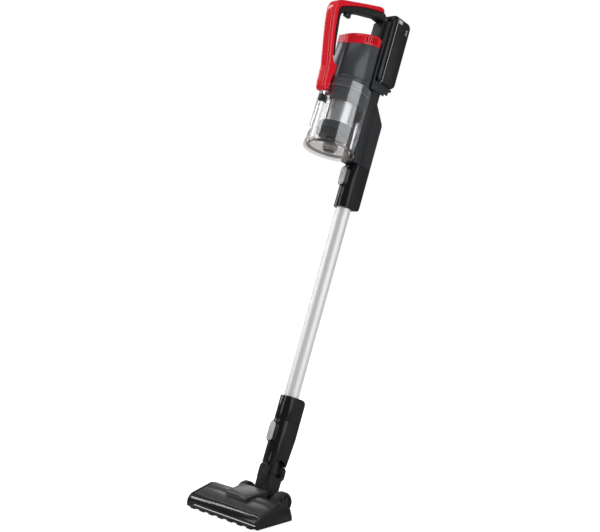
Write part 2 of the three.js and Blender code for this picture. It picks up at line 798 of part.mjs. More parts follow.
function addWand() {
  const foot = fitting(footTop, neckTop + gap);
  add(stick, "wand_foot_front_shell", frontHalf(foot, neckTop, footTop), glossBlack());
  add(stick, "wand_foot_rear_shell", rearHalf(foot, neckTop, footTop), mattBlack());
  const top = fitting(headFittingBottom, wandTop);
  const front = addBoss(frontHalf(top, headFittingBottom, wandTop), wandButton);
  const tubeRoom = rod(tubeRadius + gap, headFittingBottom - 1, wandTop + 1, fine);
  add(stick, "wand_top_front_shell", cut(front, tubeRoom), glossBlack());
  add(stick, "wand_top_rear_shell", rearHalf(top, headFittingBottom, wandTop), mattBlack());
  add(stick, "wand_release", releaseButton(wandButton), paleGrey());
  add(stick, "wand_tube", ring(tubeRadius, tubeBore, neckTop + 3, wandTop - 3), silverTube());
}

addWand();

// ---- Duct behind the dust bin, and the pipe that feeds the bin -----------------------------------
function ductProfile(inset) {
  const top = ductTop - inset;
  const bottom = inset > 0 ? ductBottom - 1 : ductBottom;
  const kink = ductBottom + ductKink - inset * 0.4;
  return polygon([
    [-ductFront + inset, bottom],
    [bodyRear - inset, bottom],
    [bodyRear - inset, kink],
    [bodyRear - ductNeckDepth - inset, kink + ductNeckRise],
    [bodyRear - ductNeckDepth - inset, top],
    [-ductFront + inset, top],
  ]);
}

function addDuct() {
  const outline = (inset) => bodyOutline(inset, ductFront, 6);
  const outer = keep(upright(outline(0), ductBottom, ductTop), across(ductProfile(0), -50, 50));
  const cavity = keep(
    upright(outline(wall), ductBottom - 1, ductTop - wall),
    across(ductProfile(wall), -50, 50),
  );
  const port = alongY(rod(pipeRadius + 2 * gap, -ductFront - 5, 0, fine)).translate(0, 0, portHeight);
  add(stick, "duct_shell", cut(outer, cavity, port), mattGrey());
}

function addInletPipe() {
  const turn = 29;
  const path = new THREE.CurvePath();
  const bottom = wandTop - pipePlug;
  const port = -(binForward - binRadius) + gap;
  const a = new THREE.Vector3(0, 0, bottom);
  const b = new THREE.Vector3(0, 0, portHeight - turn);
  const corner = new THREE.Vector3(0, 0, portHeight);
  const c = new THREE.Vector3(0, -turn, portHeight);
  path.add(new THREE.LineCurve3(a, b));
  path.add(new THREE.QuadraticBezierCurve3(b, corner, c));
  path.add(new THREE.LineCurve3(c, new THREE.Vector3(0, port, portHeight)));
  const section = new THREE.Shape();
  section.absarc(0, 0, pipeRadius, 0, Math.PI * 2);
  const bore = new THREE.Path();
  bore.absarc(0, 0, pipeRadius - pipeWall, 0, Math.PI * 2);
  section.holes.push(bore);
  const options = { steps: 11, extrudePath: path, curveSegments: 8 };
  add(stick, "inlet_pipe", new THREE.ExtrudeGeometry(section, options), mattGrey());
}

addDuct();
addInletPipe();

// ---- Dust bin --------------------------------------------------------------------------------------
const bin = new THREE.Group();
bin.position.y = -binForward;
stick.add(bin);

function addBinCup() {
  const bottom = lidTop + gap;
  const top = binTop;
  let cup = ring(binRadius, binRadius - binWall, bottom, top, round);
  const bulgeFront = -hingeForward - knuckleRadius;
  const bulge = block(-hingeHalfWidth, hingeHalfWidth, bulgeFront, -binRadius + 1, bottom, bottom + 24);
  const rib = block(-ribHalfWidth, ribHalfWidth, -ribFront, -binRadius + 1, bottom + 4, portHeight - 14);
  cup = join(cup, bulge, rib);
  for (const side of [-1, 1]) {
    const inner = side > 0 ? ribHalfWidth + gap : -hingeHalfWidth;
    const outer = side > 0 ? hingeHalfWidth : -ribHalfWidth - gap;
    const lugBack = -hingeForward + knuckleRadius;
    const lug = block(inner, outer, bulgeFront, lugBack, hingeHeight - 5, bottom + 1);
    cup = join(cup, lug);
  }
  const pinHole = alongX(rod(hingePinRadius + gap, -50, 50)).translate(0, -hingeForward, hingeHeight);
  const port = alongY(rod(pipeRadius + 2 * gap, 20, 100, fine)).translate(0, 0, portHeight);
  const hollow = rod(binRadius - binWall, bottom - 1, top + 1, round);
  add(bin, "bin_cup", cut(cup, pinHole, port, hollow), clearPlastic());
}

function addBinLid() {
  const rim = binRadius + 1.5;
  const dish = turned([
    [0, binBottom + 3],
    [20, binBottom + 3],
    [22, binBottom],
    [rim - 3, binBottom],
    [rim, binBottom + 3],
    [rim, lidTop],
    [rim - 5, lidTop],
    [rim - 5, binBottom + 5],
    [0, binBottom + 6],
  ], round);
  const knuckleHalf = ribHalfWidth - gap;
  const knuckle = alongX(rod(knuckleRadius, -knuckleHalf, knuckleHalf));
  knuckle.translate(0, -hingeForward, hingeHeight);
  const strapLow = hingeHeight - knuckleRadius;
  const strap = block(-knuckleHalf, knuckleHalf, -hingeForward, -rim + 3, strapLow, hingeHeight);
  const pinHole = alongX(rod(hingePinRadius + gap, -50, 50)).translate(0, -hingeForward, hingeHeight);
  add(bin, "bin_lid", cut(join(dish, knuckle, strap), pinHole), mattGrey());
  const pin = alongX(rod(hingePinRadius, -hingeHalfWidth, hingeHalfWidth, 12));
  add(bin, "lid_hinge_pin", pin.translate(0, -hingeForward, hingeHeight), steel());
  const sealOuter = rim - 5 - gap;
  add(bin, "lid_seal", ring(sealOuter, sealOuter - 3, binBottom + 6.5, lidTop - 1, round), rubber());
}

function addBinCatches() {
  const near = binRadius + 1.5 + gap;
  const latch = block(-5, 5, -near - 3, -near, binBottom + 2, lidTop + 12);
  latch.rotateZ(THREE.MathUtils.degToRad(latchAngle));
  add(bin, "lid_latch", latch, mattGrey());
  const bottom = portHeight - 14 + gap;
  const release = block(-6, 6, -ribFront - 1, -binRadius - gap, bottom, bottom + 16);
  add(bin, "bin_release", release, mattBlack());
}

function addSeparator() {
  const shroudBottom = collarBottom - 26;
  const collarRadius = binRadius - binWall - gap;
  const collar = ring(collarRadius, shroudRadius + 2 + gap, collarBottom, binTop, round);
  add(bin, "bin_collar", collar, mattGrey());
  const shroud = turned([
    [shroudRadius - 8, collarBottom + 8],
    [shroudRadius - 6, shroudBottom + 4],
    [meshRadius + 2, shroudBottom],
    [meshRadius + 2, shroudBottom - 3],
    [meshRadius + 6, shroudBottom - 3],
    [shroudRadius, shroudBottom + 3],
    [shroudRadius, collarBottom - 1],
    [shroudRadius + 2, collarBottom + 8],
  ], fine);
  add(bin, "shroud", shroud, mattGrey());
  const meshBottom = binBottom + 66;
  const meshTop = shroudBottom - 3 - gap;
  add(bin, "filter_mesh", ring(meshRadius, meshRadius - 1.2, meshBottom, meshTop, fine), steel());
  const coneBottom = binBottom + 34;
  const cone = turned([
    [meshRadius - 6, meshBottom - gap],
    [meshRadius - 6, meshBottom - 6],
    [18, coneBottom + 2],
    [18, coneBottom],
    [meshRadius - 2, coneBottom],
    [meshRadius - 2, coneBottom + 12],
    [meshRadius + 3, coneBottom + 14],
    [meshRadius + 3, meshBottom - gap],
  ], fine);
  add(bin, "cyclone_cone", cone, mattGrey());
  const tubeBottom = binBottom + 10;
  add(bin, "cyclone_tube", ring(17.5, 15.5, tubeBottom, coneBottom + 30, coarse), mattBlack());
  add(bin, "pre_filter", ring(shroudRadius - 9, 12, collarBottom + 1, binTop - 1, fine), foam());
}

addBinCup();
addBinLid();
addBinCatches();
addSeparator();

// ---- Motor, in a housing on top of the bin ---------------------------------------------------------
function motorOuter(inset, z0, z1) {
  const radius = motorHousingRadius - inset;
  const rib = block(
    -motorRibHalfWidth + inset,
    motorRibHalfWidth - inset,
    -radius - motorRib,
    -radius + 10,
    z0,
    z1,
  );
  return join(rod(radius, z0, z1, round), rib);
}

function addMotorHousing() {
  const floor = motorBottom + 4;
  const radius = motorHousingRadius;
  const flange = ring(radius + 2.5, radius - 6, motorBottom, motorBottom + 5, round);
  const slopeStart = floor + 10;
  const outer = slopeTop(motorOuter(0, motorBottom, motorTop), 0, slopeStart, motorTop);
  const cavity = motorOuter(wall, floor, motorTop + 1);
  const inlet = rod(34, motorBottom - 1, floor + 1, fine);
  add(bin, "motor_housing", cut(join(outer, flange), cavity, inlet), mattGrey());
}

// The red vented cover, with its rim and top parallel to the housing's sloping edge.
function addMotorCap() {
  const top = capBottom + capThickness;
  const radius = motorHousingRadius;
  const shape = turned([
    [0, capBottom],
    [radius, capBottom],
    [radius, top - 6],
    [radius - 2, top - 2],
    [radius - 6, top],
    [0, top],
  ], round);
  const rib = block(-motorRibHalfWidth, motorRibHalfWidth, -radius - motorRib, 0, capBottom, top - 6);
  const cavity = turned([
    [0, capBottom - 1],
    [radius - wall, capBottom - 1],
    [radius - wall, top - 7],
    [radius - 7, top - wall],
    [0, top - wall],
  ], round);
  let cap = cut(join(shape, rib), cavity);
  for (const side of [-1, 1]) {
    for (let i = 0; i < ventCount; i += 1) {
      const angle = side * THREE.MathUtils.degToRad(66 + i * 7);
      const slot = block(-1.2, 1.2, -radius - 8, -radius + 10, capBottom + 4, top - 7);
      cap = cut(cap, slot.rotateZ(angle));
    }
  }
  add(bin, "motor_cap", slopeTop(cap, 0, capBottom - 200, capBottom - 199), redPlastic());
}

function addMotor() {
  const canRadius = 24;
  const canBottom = motorBottom + 32;
  const canTop = canBottom + 42;
  const shaftRadius = 2.5;
  const can = turned([
    [shaftRadius + gap, canBottom],
    [canRadius, canBottom],
    [canRadius, canTop],
    [shaftRadius + gap, canTop],
  ], fine);
  add(bin, "fan_motor", can, steel());
  const fanBottom = motorBottom + 12;
  const impeller = turned([
    [0, fanBottom - 3],
    [6, fanBottom - 3],
    [8, fanBottom + 2],
    [27, fanBottom + 9],
    [27, fanBottom + 11],
    [8, fanBottom + 11],
    [shaftRadius, fanBottom + 12],
    [shaftRadius, canTop + 3],
    [0, canTop + 3],
  ], coarse);
  add(bin, "impeller", impeller, paleGrey());
  const coverTop = canBottom - gap;
  const cover = turned([
    [14, motorBottom + 4.5],
    [32, motorBottom + 4.5],
    [32, coverTop],
    [10, coverTop],
    [10, coverTop - 3],
    [29.5, coverTop - 3],
    [29.5, motorBottom + 7],
    [14, motorBottom + 7],
  ], fine);
  add(bin, "fan_cover", cover, mattBlack());
  const filterBottom = motorBottom + 40;
  const outer = motorHousingRadius - 6;
  add(bin, "exhaust_filter", ring(outer, outer - 11, filterBottom, filterBottom + 36, fine), foam());
}

addMotorHousing();
addMotorCap();
addMotor();

// ---- Rear column, battery and handle ---------------------------------------------------------------
function addColumn() {
  const bottom = motorBottom + 2;
  const top = handleTop - 32;
  const column = upright(roundedRect(columnHalfWidth, columnFront, columnRear, 3, 1), bottom, top, 0, 3);
  const reach = motorHousingRadius + 2.5 + gap;
  const room = rod(reach, bottom - 1, capBottom + capThickness + 16, round).translate(0, -binForward, 0);
  const topRoom = block(-50, 50, columnFront - 1, columnFront + 2, bottom - 1, capBottom);
  add(stick, "rear_column", cut(column, room, topRoom), mattBlack());
}

function addDock() {
  const halfWidth = batteryHalfWidth - 4;
  const plateOutline = roundedRect(halfWidth, dockFront, batteryFront - gap, 2);
  const plate = upright(plateOutline, batteryBottom - 12, batteryTop - 24);
  const floorTop = batteryBottom - gap;
  const shelf = across(
    polygon([
      [dockFront, floorTop],
      [batteryRear - 5, floorTop],
      [batteryRear - 5, floorTop - 6],
      [batteryRear - 22, floorTop - 14],
      [bodyRear - ductNeckDepth + 2, ductTop + gap],
      [dockFront, ductTop + gap],
    ]),
    -halfWidth,
    halfWidth,
    2,
  );
  const motorRoom = rod(motorHousingRadius + 2.5 + gap, 0, 2000, round).translate(0, -binForward, 0);
  add(stick, "battery_dock", cut(join(plate, shelf), motorRoom), mattGrey());
}

function addBattery() {
  const middle = (batteryFront + batteryRear) / 2;
  const body = (inset, bevel) => {
    const [half, low, high] = [batteryDepth / 2 - inset, batteryBottom + inset, batteryTop - inset];
    const outline = roundedRect(half, low, high, batteryCorner - inset);
    const reach = batteryHalfWidth - inset;
    return across(outline, -reach, reach, bevel, 4).translate(0, middle, 0);
  };
  let pack = body(0, 6);
  const inside = body(wall, 5);
  const front = batteryFront;
  const slot = block(-9, 9, front - 1, front + wall + 1, batteryBottom + 12, batteryBottom + 20);
  const releaseRoom = block(-13, 13, front + 10, front + 21, batteryTop - wall - 3, batteryTop + 1);
  pack = cut(pack, inside, slot, releaseRoom);
  add(stick, "battery_case", pack, mattBlack());
  const spacer = 2 * cellRadius + 0.4;
  const levels = [batteryBottom + wall + 7, batteryBottom + wall + 13 + cellLength];
  let cells = block(-spacer, spacer, middle - 3, middle + 3, levels[0] + cellLength - 4, levels[1] + 4);
  for (const z of levels) {
    for (const x of [-spacer, 0, spacer]) {
      cells = join(cells, rod(cellRadius, z, z + cellLength, 16).translate(x, middle, 0));
    }
    const frame = block(-spacer, spacer, middle - 4, middle + 4, z + 20, z + 44);
    cells = join(cells, frame);
  }
  add(stick, "battery_cells", cells, plastic(0x2f6f8f, 0.5));
  const buttonBottom = batteryTop - 7;
  const release = block(-12.4, 12.4, front + 10.6, front + 20.4, buttonBottom, batteryTop + 1.5);
  add(stick, "battery_release", release, paleGrey());
}

// Side outline of the red loop: the front bar with its tip, a web to the motor housing, the top bar.
function handleOutline() {
  const tip = handleTip;
  const rise = handleTop;
  const back = housingFront;
  const shape = new THREE.Shape();
  shape.moveTo(back - 5.8, tip + 18);
  shape.quadraticCurveTo(back - 6.3, tip, back - 17.3, tip);
  shape.quadraticCurveTo(back - 26.3, tip, back - 28, tip + 20);
  shape.lineTo(back - 29.8, tip + 57);
  shape.lineTo(back - 44.3, tip + 112);
  shape.quadraticCurveTo(back - 55.3, tip + 155, back - 58.8, rise - 81);
  shape.quadraticCurveTo(back - 61.3, rise - 57, back - 41.3, rise - 47);
  shape.quadraticCurveTo(columnFront - 76, rise - 21, columnFront - 20, rise - 2);
  shape.quadraticCurveTo(columnFront - 12, rise + 1, columnFront - 6, rise - 2);
  shape.lineTo(columnFront, rise - 10);
  shape.quadraticCurveTo(columnFront - 68, rise - 24, back - 30.3, rise - 59);
  shape.quadraticCurveTo(back - 42.3, rise - 65, back - 40.3, rise - 81);
  shape.quadraticCurveTo(back - 36.3, tip + 138, back - 19.3, tip + 82);
  shape.quadraticCurveTo(back - 14.3, tip + 70, back - gap, tip + 70);
  shape.lineTo(back - gap, tip + 48);
  shape.quadraticCurveTo(back - 6.3, tip + 44, back - 5.8, tip + 18);
  return shape;
}

// The dark lining inside the loop, following the red part with a clearance.
function gripOutline() {
  const tip = handleTip;
  const rise = handleTop;
  const back = housingFront;
  const rear = columnRear;
  const shape = new THREE.Shape();
  shape.moveTo(columnFront, rise - 10.6);
  shape.quadraticCurveTo(columnFront - 68, rise - 24.6, back - 29.9, rise - 59.6);
  shape.quadraticCurveTo(back - 41.5, rise - 65.4, back - 39.7, rise - 81);
  shape.quadraticCurveTo(back - 35.7, tip + 138, back - 19.7, tip + 86);
  shape.lineTo(back - 16.8, tip + 86);
  shape.quadraticCurveTo(back - 29.3, tip + 142, back - 32.8, rise - 87);
  shape.quadraticCurveTo(back - 32.3, rise - 72, back - 16.3, rise - 66);
  shape.quadraticCurveTo(columnFront - 63, rise - 42, columnFront - 18, rise - 31);
  shape.lineTo(rear, rise - 31);
  shape.lineTo(rear, rise - 16);
  return shape;
}

function addHandle() {
  const shell = across(handleOutline(), -handleHalfWidth, handleHalfWidth, 4, 6);
  add(stick, "handle_shell", shell, redPlastic());
  const gripHalf = handleHalfWidth - 1;
  const grip = across(gripOutline(), -gripHalf, gripHalf, 1, 6);
  const half = 5.5;
  const front = housingFront - 13.3;
  const back = front + 18;
  const pocketTop = handleTop - 55;
  const room = block(-half, half, front, back, pocketTop - 28, pocketTop);
  add(stick, "handle_grip", cut(grip, room), mattBlack());
  const bottom = pocketTop - 17;
  const top = pocketTop - triggerTravel - gap;
  const trigger = block(-half + gap, half - gap, front + gap, back - gap, bottom, top);
  add(stick, "power_trigger", trigger, mattGrey());
}

addColumn();
addDock();
addBattery();
addHandle();

// ---- The part's own frame: the middle of its footprint, on the floor --------------------------------
vacuum.updateMatrixWorld(true);
const bounds = new THREE.Box3().setFromObject(vacuum, true);
vacuum.position.set(0, -(bounds.min.y + bounds.max.y) / 2, -bounds.min.z);

export default vacuum;
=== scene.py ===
# Cordless stick vacuum cleaner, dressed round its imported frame. Metres, +Z up.
import json
import math

import bpy
from mathutils import Matrix, Vector


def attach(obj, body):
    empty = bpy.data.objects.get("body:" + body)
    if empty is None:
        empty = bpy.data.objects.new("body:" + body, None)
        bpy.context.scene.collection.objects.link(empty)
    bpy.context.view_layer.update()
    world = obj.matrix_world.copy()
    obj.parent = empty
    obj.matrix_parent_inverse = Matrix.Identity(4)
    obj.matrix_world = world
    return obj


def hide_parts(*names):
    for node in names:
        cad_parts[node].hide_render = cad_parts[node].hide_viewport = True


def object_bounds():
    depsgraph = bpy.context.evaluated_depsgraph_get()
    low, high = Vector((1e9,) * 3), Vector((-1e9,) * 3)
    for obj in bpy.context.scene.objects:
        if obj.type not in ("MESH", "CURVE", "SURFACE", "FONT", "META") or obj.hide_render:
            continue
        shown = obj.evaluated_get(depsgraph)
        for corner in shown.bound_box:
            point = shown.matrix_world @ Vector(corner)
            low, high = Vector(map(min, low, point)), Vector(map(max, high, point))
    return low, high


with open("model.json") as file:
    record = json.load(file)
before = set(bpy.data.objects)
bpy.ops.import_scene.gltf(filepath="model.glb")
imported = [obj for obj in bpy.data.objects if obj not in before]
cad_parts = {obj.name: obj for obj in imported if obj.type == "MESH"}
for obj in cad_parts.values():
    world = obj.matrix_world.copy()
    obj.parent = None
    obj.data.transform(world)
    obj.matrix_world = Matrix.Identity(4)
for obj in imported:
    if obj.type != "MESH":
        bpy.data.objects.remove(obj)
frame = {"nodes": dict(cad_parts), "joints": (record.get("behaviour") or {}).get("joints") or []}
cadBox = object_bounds()
nodes = frame["nodes"]
joints = {joint["name"]: joint for joint in frame["joints"]}
mm = 0.001

# The stick's own frame: its origin is the wheel axle and its Z runs up the stick.
stickAxis = Vector(joints["fan_spin"]["axis"])
stickLean = math.atan2(stickAxis.y, stickAxis.z)
stickOrigin = Vector(joints["neck_pitch"]["pos_m"])
stickPlace = Matrix.Translation(stickOrigin) @ Matrix.Rotation(-stickLean, 4, "X")
stickInverse = stickPlace.inverted()
binForward = -(stickInverse @ Vector(joints["fan_spin"]["pos_m"])).y  # bin axis, ahead of the stick's
binPlace = stickPlace @ Matrix.Translation((0, -binForward, 0))
axleBack = 33.7 * mm  # the head's rear axle, behind the head's own origin
headPlace = Matrix.Translation((0, stickOrigin.y - axleBack, 0))

camera = {
    "azimuth": 47, "elevation": 4.6, "distance": 2.5,
    "lens": 64.7, "sensor": 36, "farEnd": 50,
    "target": (-0.037, -0.0169, 0.532),
}
lights = {
    "key": {"place": (-1.5, -2.6, 1.9), "size": (0.7, 2.4), "power": 19},
    "fill": {"place": (2.8, 0.4, 1.2), "size": (2.8, 2.4), "power": 36},
    "top": {"place": (0.2, -0.3, 3.0), "size": (1.8, 1.8), "power": 13},
    "rear": {"place": (-2.2, 1.6, 1.6), "size": (0.8, 2.0), "power": 6},
    "strip": {"place": (-2.3, -0.9, 2.0), "size": (0.5, 2.4), "power": 27},
}
lightAim = (0, -0.05, 0.5)
backdropLight = 0.2  # how strongly the white backdrop lights the pieces
floor = {"size": 40, "gap": 0.0002, "glow": 0.88}


def addCamera():
    turn, rise = math.radians(camera["azimuth"]), math.radians(camera["elevation"])
    back = Vector((math.sin(turn) * math.cos(rise), -math.cos(turn) * math.cos(rise), math.sin(rise)))
    target = Vector(camera["target"])
    data = bpy.data.cameras.new("studioCamera")
    data.lens = camera["lens"]
    data.sensor_width = camera["sensor"]
    data.clip_end = camera["farEnd"]
    holder = bpy.data.objects.new("studioCamera", data)
    bpy.context.scene.collection.objects.link(holder)
    holder.location = target + back * camera["distance"]
    holder.rotation_euler = (-back).to_track_quat("-Z", "Y").to_euler()
    bpy.context.scene.camera = holder


def addLights():
    aim = Vector(lightAim)
    for name, light in lights.items():
        data = bpy.data.lights.new(name + "Light", "AREA")
        data.shape = "RECTANGLE"
        data.size, data.size_y = light["size"]
        data.energy = light["power"]
        holder = bpy.data.objects.new(name + "Light", data)
        holder.location = light["place"]
        holder.rotation_euler = (aim - holder.location).to_track_quat("-Z", "Y").to_euler()
        bpy.context.scene.collection.objects.link(holder)
    # The backdrop is white to look at, and dimmer as a light, so dark plastics stay dark.
    world = bpy.data.worlds.new("studio")
    world.use_nodes = True
    tree = world.node_tree
    ray = tree.nodes.new("ShaderNodeLightPath")
    level = tree.nodes.new("ShaderNodeMapRange")
    level.inputs["To Min"].default_value = backdropLight
    level.inputs["To Max"].default_value = 1.0
    tree.links.new(ray.outputs["Is Camera Ray"], level.inputs["Value"])
    tree.nodes["Background"].inputs["Color"].default_value = (1, 1, 1, 1)
    tree.links.new(level.outputs["Result"], tree.nodes["Background"].inputs["Strength"])
    bpy.context.scene.world = world
    bpy.context.scene.view_settings.view_transform = "Standard"


class Link:  # a shader socket that takes part in sums
    def __init__(self, finish, socket):
        self.finish = finish
        self.socket = socket

    def __add__(self, other):
        return self.finish.maths("ADD", self, other)

    def __radd__(self, other):
        return self.finish.maths("ADD", other, self)

    def __sub__(self, other):
        return self.finish.maths("SUBTRACT", self, other)

    def __rsub__(self, other):
        return self.finish.maths("SUBTRACT", other, self)

    def __mul__(self, other):
        return self.finish.maths("MULTIPLY", self, other)

    def __rmul__(self, other):
        return self.finish.maths("MULTIPLY", other, self)

    def __truediv__(self, other):
        return self.finish.maths("DIVIDE", self, other)

    def __lt__(self, other):
        return self.finish.maths("LESS_THAN", self, other)


class Finish:
    def __init__(self, name, **plain):
        self.material = bpy.data.materials.new(name)
        self.material.use_nodes = True
        self.tree = self.material.node_tree
        self.shader = self.tree.nodes["Principled BSDF"]
        for socket, value in plain.items():
            self.shader.inputs[socket.replace("_", " ")].default_value = value
        self.place = self.node("ShaderNodeTexCoord", output="Object")

    def node(self, kind, settings=None, inputs=None, output=0):
        made = self.tree.nodes.new(kind)
        for key, value in (settings or {}).items():
            setattr(made, key, value)
        for key, value in (inputs or {}).items():
            if isinstance(value, Link):
                self.tree.links.new(value.socket, made.inputs[key])
            else:
                made.inputs[key].default_value = value
        return Link(self, made.outputs[output])

    def maths(self, operation, first, second=0.0):
        return self.node("ShaderNodeMath", {"operation": operation}, {0: first, 1: second})

    def blend(self, factor, low, high):
        return self.node("ShaderNodeMix", {"data_type": "RGBA"}, {0: factor, 6: low, 7: high}, 2)

    def noise(self, scale, detail=2.0, at=None):
        settings = {"Vector": at or self.place, "Scale": scale, "Detail": detail, "Roughness": 0.55}
        return self.node("ShaderNodeTexNoise", inputs=settings)

    def mapped(self, location, rotation):
        settings = {"Vector": self.place, "Location": location, "Rotation": rotation}
        return self.node("ShaderNodeMapping", {"vector_type": "POINT"}, settings)

    def parts(self, vector):
        split = self.tree.nodes.new("ShaderNodeSeparateXYZ")
        self.tree.links.new(vector.socket, split.inputs[0])
        return [Link(self, socket) for socket in split.outputs]

    def feed(self, socket, link):
        self.tree.links.new(link.socket, self.shader.inputs[socket])

    def bump(self, height, strength, distance):
        self.feed("Normal", self.node("ShaderNodeBump", inputs={
            "Height": height, "Strength": strength, "Distance": distance}))


def rgb(red, green, blue, alpha=1.0):
    return (red, green, blue, alpha)


def shade(colour, share):
    return tuple(channel * share for channel in colour[:3]) + (1.0,)


def mouldedPlastic(name, colour, roughness, grain=0.12, grainScale=1400, spread=0.1, **plain):
    finish = Finish(name, **plain)
    cloud = finish.noise(9, 3)
    finish.feed("Base Color", finish.blend(cloud, shade(colour, 1 - spread), shade(colour, 1 + spread)))
    smudge = finish.noise(34, 4)
    finish.feed("Roughness", roughness * 0.8 + smudge * roughness * 0.4)
    finish.bump(finish.noise(grainScale, 2), grain, 0.0002)
    return finish.material


def stickSpace(finish):
    # X across the stick, Y rearwards, Z up the stick
    return finish.mapped(tuple(stickInverse.to_translation()), (stickLean, 0, 0))


def drawnTube(name, colour, roughness):
    finish = Finish(name, Metallic=0.35, Anisotropic=0.3)
    across, rear, height = finish.parts(stickSpace(finish))
    streaks = finish.node("ShaderNodeCombineXYZ", inputs={0: across * 900, 1: rear * 900, 2: height * 14})
    line = finish.noise(1.0, 3, streaks)
    cloud = finish.noise(7, 3)
    mixed = line * 0.5 + cloud * 0.5
    finish.feed("Base Color", finish.blend(mixed, shade(colour, 0.93), shade(colour, 1.05)))
    finish.feed("Roughness", roughness * 0.85 + line * roughness * 0.3)
    finish.bump(line, 0.05, 0.0001)
    return finish.material


def metal(name, colour, roughness, scratch=0.06):
    finish = Finish(name, Metallic=1.0)
    fine = finish.noise(420, 4)
    cloud = finish.noise(20, 3)
    finish.feed("Base Color", finish.blend(cloud, shade(colour, 0.9), shade(colour, 1.08)))
    finish.feed("Roughness", roughness * 0.75 + fine * roughness * 0.5)
    finish.bump(fine, scratch, 0.0002)
    return finish.material


def perforatedSheet(name, colour, radius, pitch, holeShare):
    # Staggered round holes, wrapped round the bin's axis. Rows lie 0.866 of the pitch apart.
    finish = Finish(name)
    across, rear, height = finish.parts(stickSpace(finish))
    turn = finish.maths("ARCTAN2", across, rear + binForward)
    column = turn * (radius / pitch)
    row = height / (pitch * 0.866)
    odd = finish.maths("MODULO", finish.maths("FLOOR", row), 2.0)
    u = finish.maths("FRACT", column + odd * 0.5 + 400.0) - 0.5  # 400 keeps the count above zero
    v = finish.maths("FRACT", row) - 0.5
    distance = finish.maths("SQRT", u * u + v * v * 0.75)
    hole = distance < holeShare
    # The hole pattern is real, but the holes are not cut: they are painted near-black, which is painted
    # shade for the dark inside seen through them.
    dark = rgb(0.02, 0.02, 0.022)
    finish.feed("Base Color", finish.blend(hole, colour, dark))
    finish.feed("Metallic", 1 - hole * 0.8)
    finish.feed("Roughness", 0.28 + hole * 0.4 + finish.noise(60, 2) * 0.08)
    finish.bump(1 - hole, 0.5, 0.0004)
    return finish.material


def clearPlastic(name, colour, low, high, roughness=0.05, metallic=1.0):
    # A faint mirror where it is seen square on, and a strong one at its edges.
    finish = Finish(name, Metallic=metallic)
    edge = finish.node("ShaderNodeLayerWeight", inputs={"Blend": 0.35}, output="Facing")
    haze = finish.noise(12, 3)
    finish.feed("Base Color", finish.blend(haze, shade(colour, 0.94), colour))
    finish.feed("Alpha", low + edge * edge * (high - low) + haze * 0.02)
    finish.feed("Roughness", roughness + finish.noise(50, 3) * 0.05)
    finish.material.blend_method = "HASHED"
    return finish.material


def rubberFinish(name, colour, roughness=0.7):
    finish = Finish(name, Sheen_Weight=0.15, Sheen_Roughness=0.5)
    dust = finish.noise(60, 5)
    finish.feed("Base Color", finish.blend(dust, shade(colour, 0.85), shade(colour, 1.25)))
    finish.feed("Roughness", roughness - 0.1 + dust * 0.2)
    finish.bump(finish.noise(700, 3), 0.25, 0.0003)
    return finish.material


def foamFinish(name, colour):
    finish = Finish(name, Sheen_Weight=0.2)
    cell = finish.node("ShaderNodeTexVoronoi", inputs={"Vector": finish.place, "Scale": 700.0})
    finish.feed("Base Color", finish.blend(cell, shade(colour, 0.55), colour))
    finish.feed("Roughness", 0.85 + cell * 0.1)
    finish.bump(cell, 0.6, 0.0006)
    return finish.material


def pileFinish(name, colour):
    finish = Finish(name, Sheen_Weight=0.5, Sheen_Roughness=0.4)
    strand = finish.noise(1600, 3)
    clump = finish.noise(140, 3)
    mixed = strand * 0.6 + clump * 0.4
    finish.feed("Base Color", finish.blend(mixed, shade(colour, 0.55), shade(colour, 1.3)))
    finish.feed("Roughness", 0.75 + strand * 0.2)
    finish.bump(strand, 0.7, 0.0008)
    return finish.material


finishes = {
    "red": mouldedPlastic(
        "redGloss", rgb(0.9, 0.0022, 0.02), 0.17, 0.02, 900, 0.05, Specular_IOR_Level=0.5),
    "glossBlack": mouldedPlastic(
        "glossBlack", rgb(0.006, 0.0065, 0.0075), 0.16, 0.03, 700, 0.15, Specular_IOR_Level=0.35),
    "mattBlack": mouldedPlastic(
        "mattBlack", rgb(0.014, 0.015, 0.016), 0.46, 0.22, 1700, 0.12, Specular_IOR_Level=0.22),
    "mattGrey": mouldedPlastic(
        "mattGrey", rgb(0.03, 0.033, 0.037), 0.46, 0.2, 1700, 0.1, Specular_IOR_Level=0.25),
    "slate": mouldedPlastic(
        "slateSatin", rgb(0.055, 0.062, 0.07), 0.32, 0.06, 1100, 0.08, Coat_Weight=0.25),
    "coverGrey": mouldedPlastic(
        "coverGrey", rgb(0.034, 0.032, 0.032), 0.36, 0.1, 1200, 0.1, Coat_Weight=0.25),
    "paleGrey": mouldedPlastic("paleGrey", rgb(0.6, 0.61, 0.63), 0.24, 0.04, 1500, 0.05),
    "wrap": mouldedPlastic("cellWrap", rgb(0.05, 0.18, 0.3), 0.3, 0.05, 400, 0.08),
    "lamp": mouldedPlastic("lampLens", rgb(0.55, 0.7, 0.62), 0.2, 0.02, 400, 0.05),
    "tube": drawnTube("satinTube", rgb(0.92, 0.93, 0.94), 0.42),
    "steel": metal("brightSteel", rgb(0.62, 0.63, 0.65), 0.26),
    "motorCan": metal("motorCan", rgb(0.42, 0.43, 0.45), 0.4),
    "sieve": perforatedSheet("sieve", rgb(0.78, 0.79, 0.8), 37 * mm, 1.7 * mm, 0.27),
    "clear": clearPlastic("clearPlastic", rgb(0.88, 0.9, 0.92), 0.09, 0.75),
    "clearTinted": clearPlastic("clearTinted", rgb(0.66, 0.62, 0.59), 0.12, 0.75, 0.06),
    "smoke": clearPlastic("smokedPlastic", rgb(0.012, 0.007, 0.007), 0.8, 0.98, 0.1, 0.0),
    "rubber": rubberFinish("blackRubber", rgb(0.02, 0.02, 0.021)),
    "foam": foamFinish("filterFoam", rgb(0.42, 0.42, 0.4)),
    "pile": pileFinish("redPile", rgb(0.36, 0.03, 0.045)),
}
print("finishes made:", len(finishes))


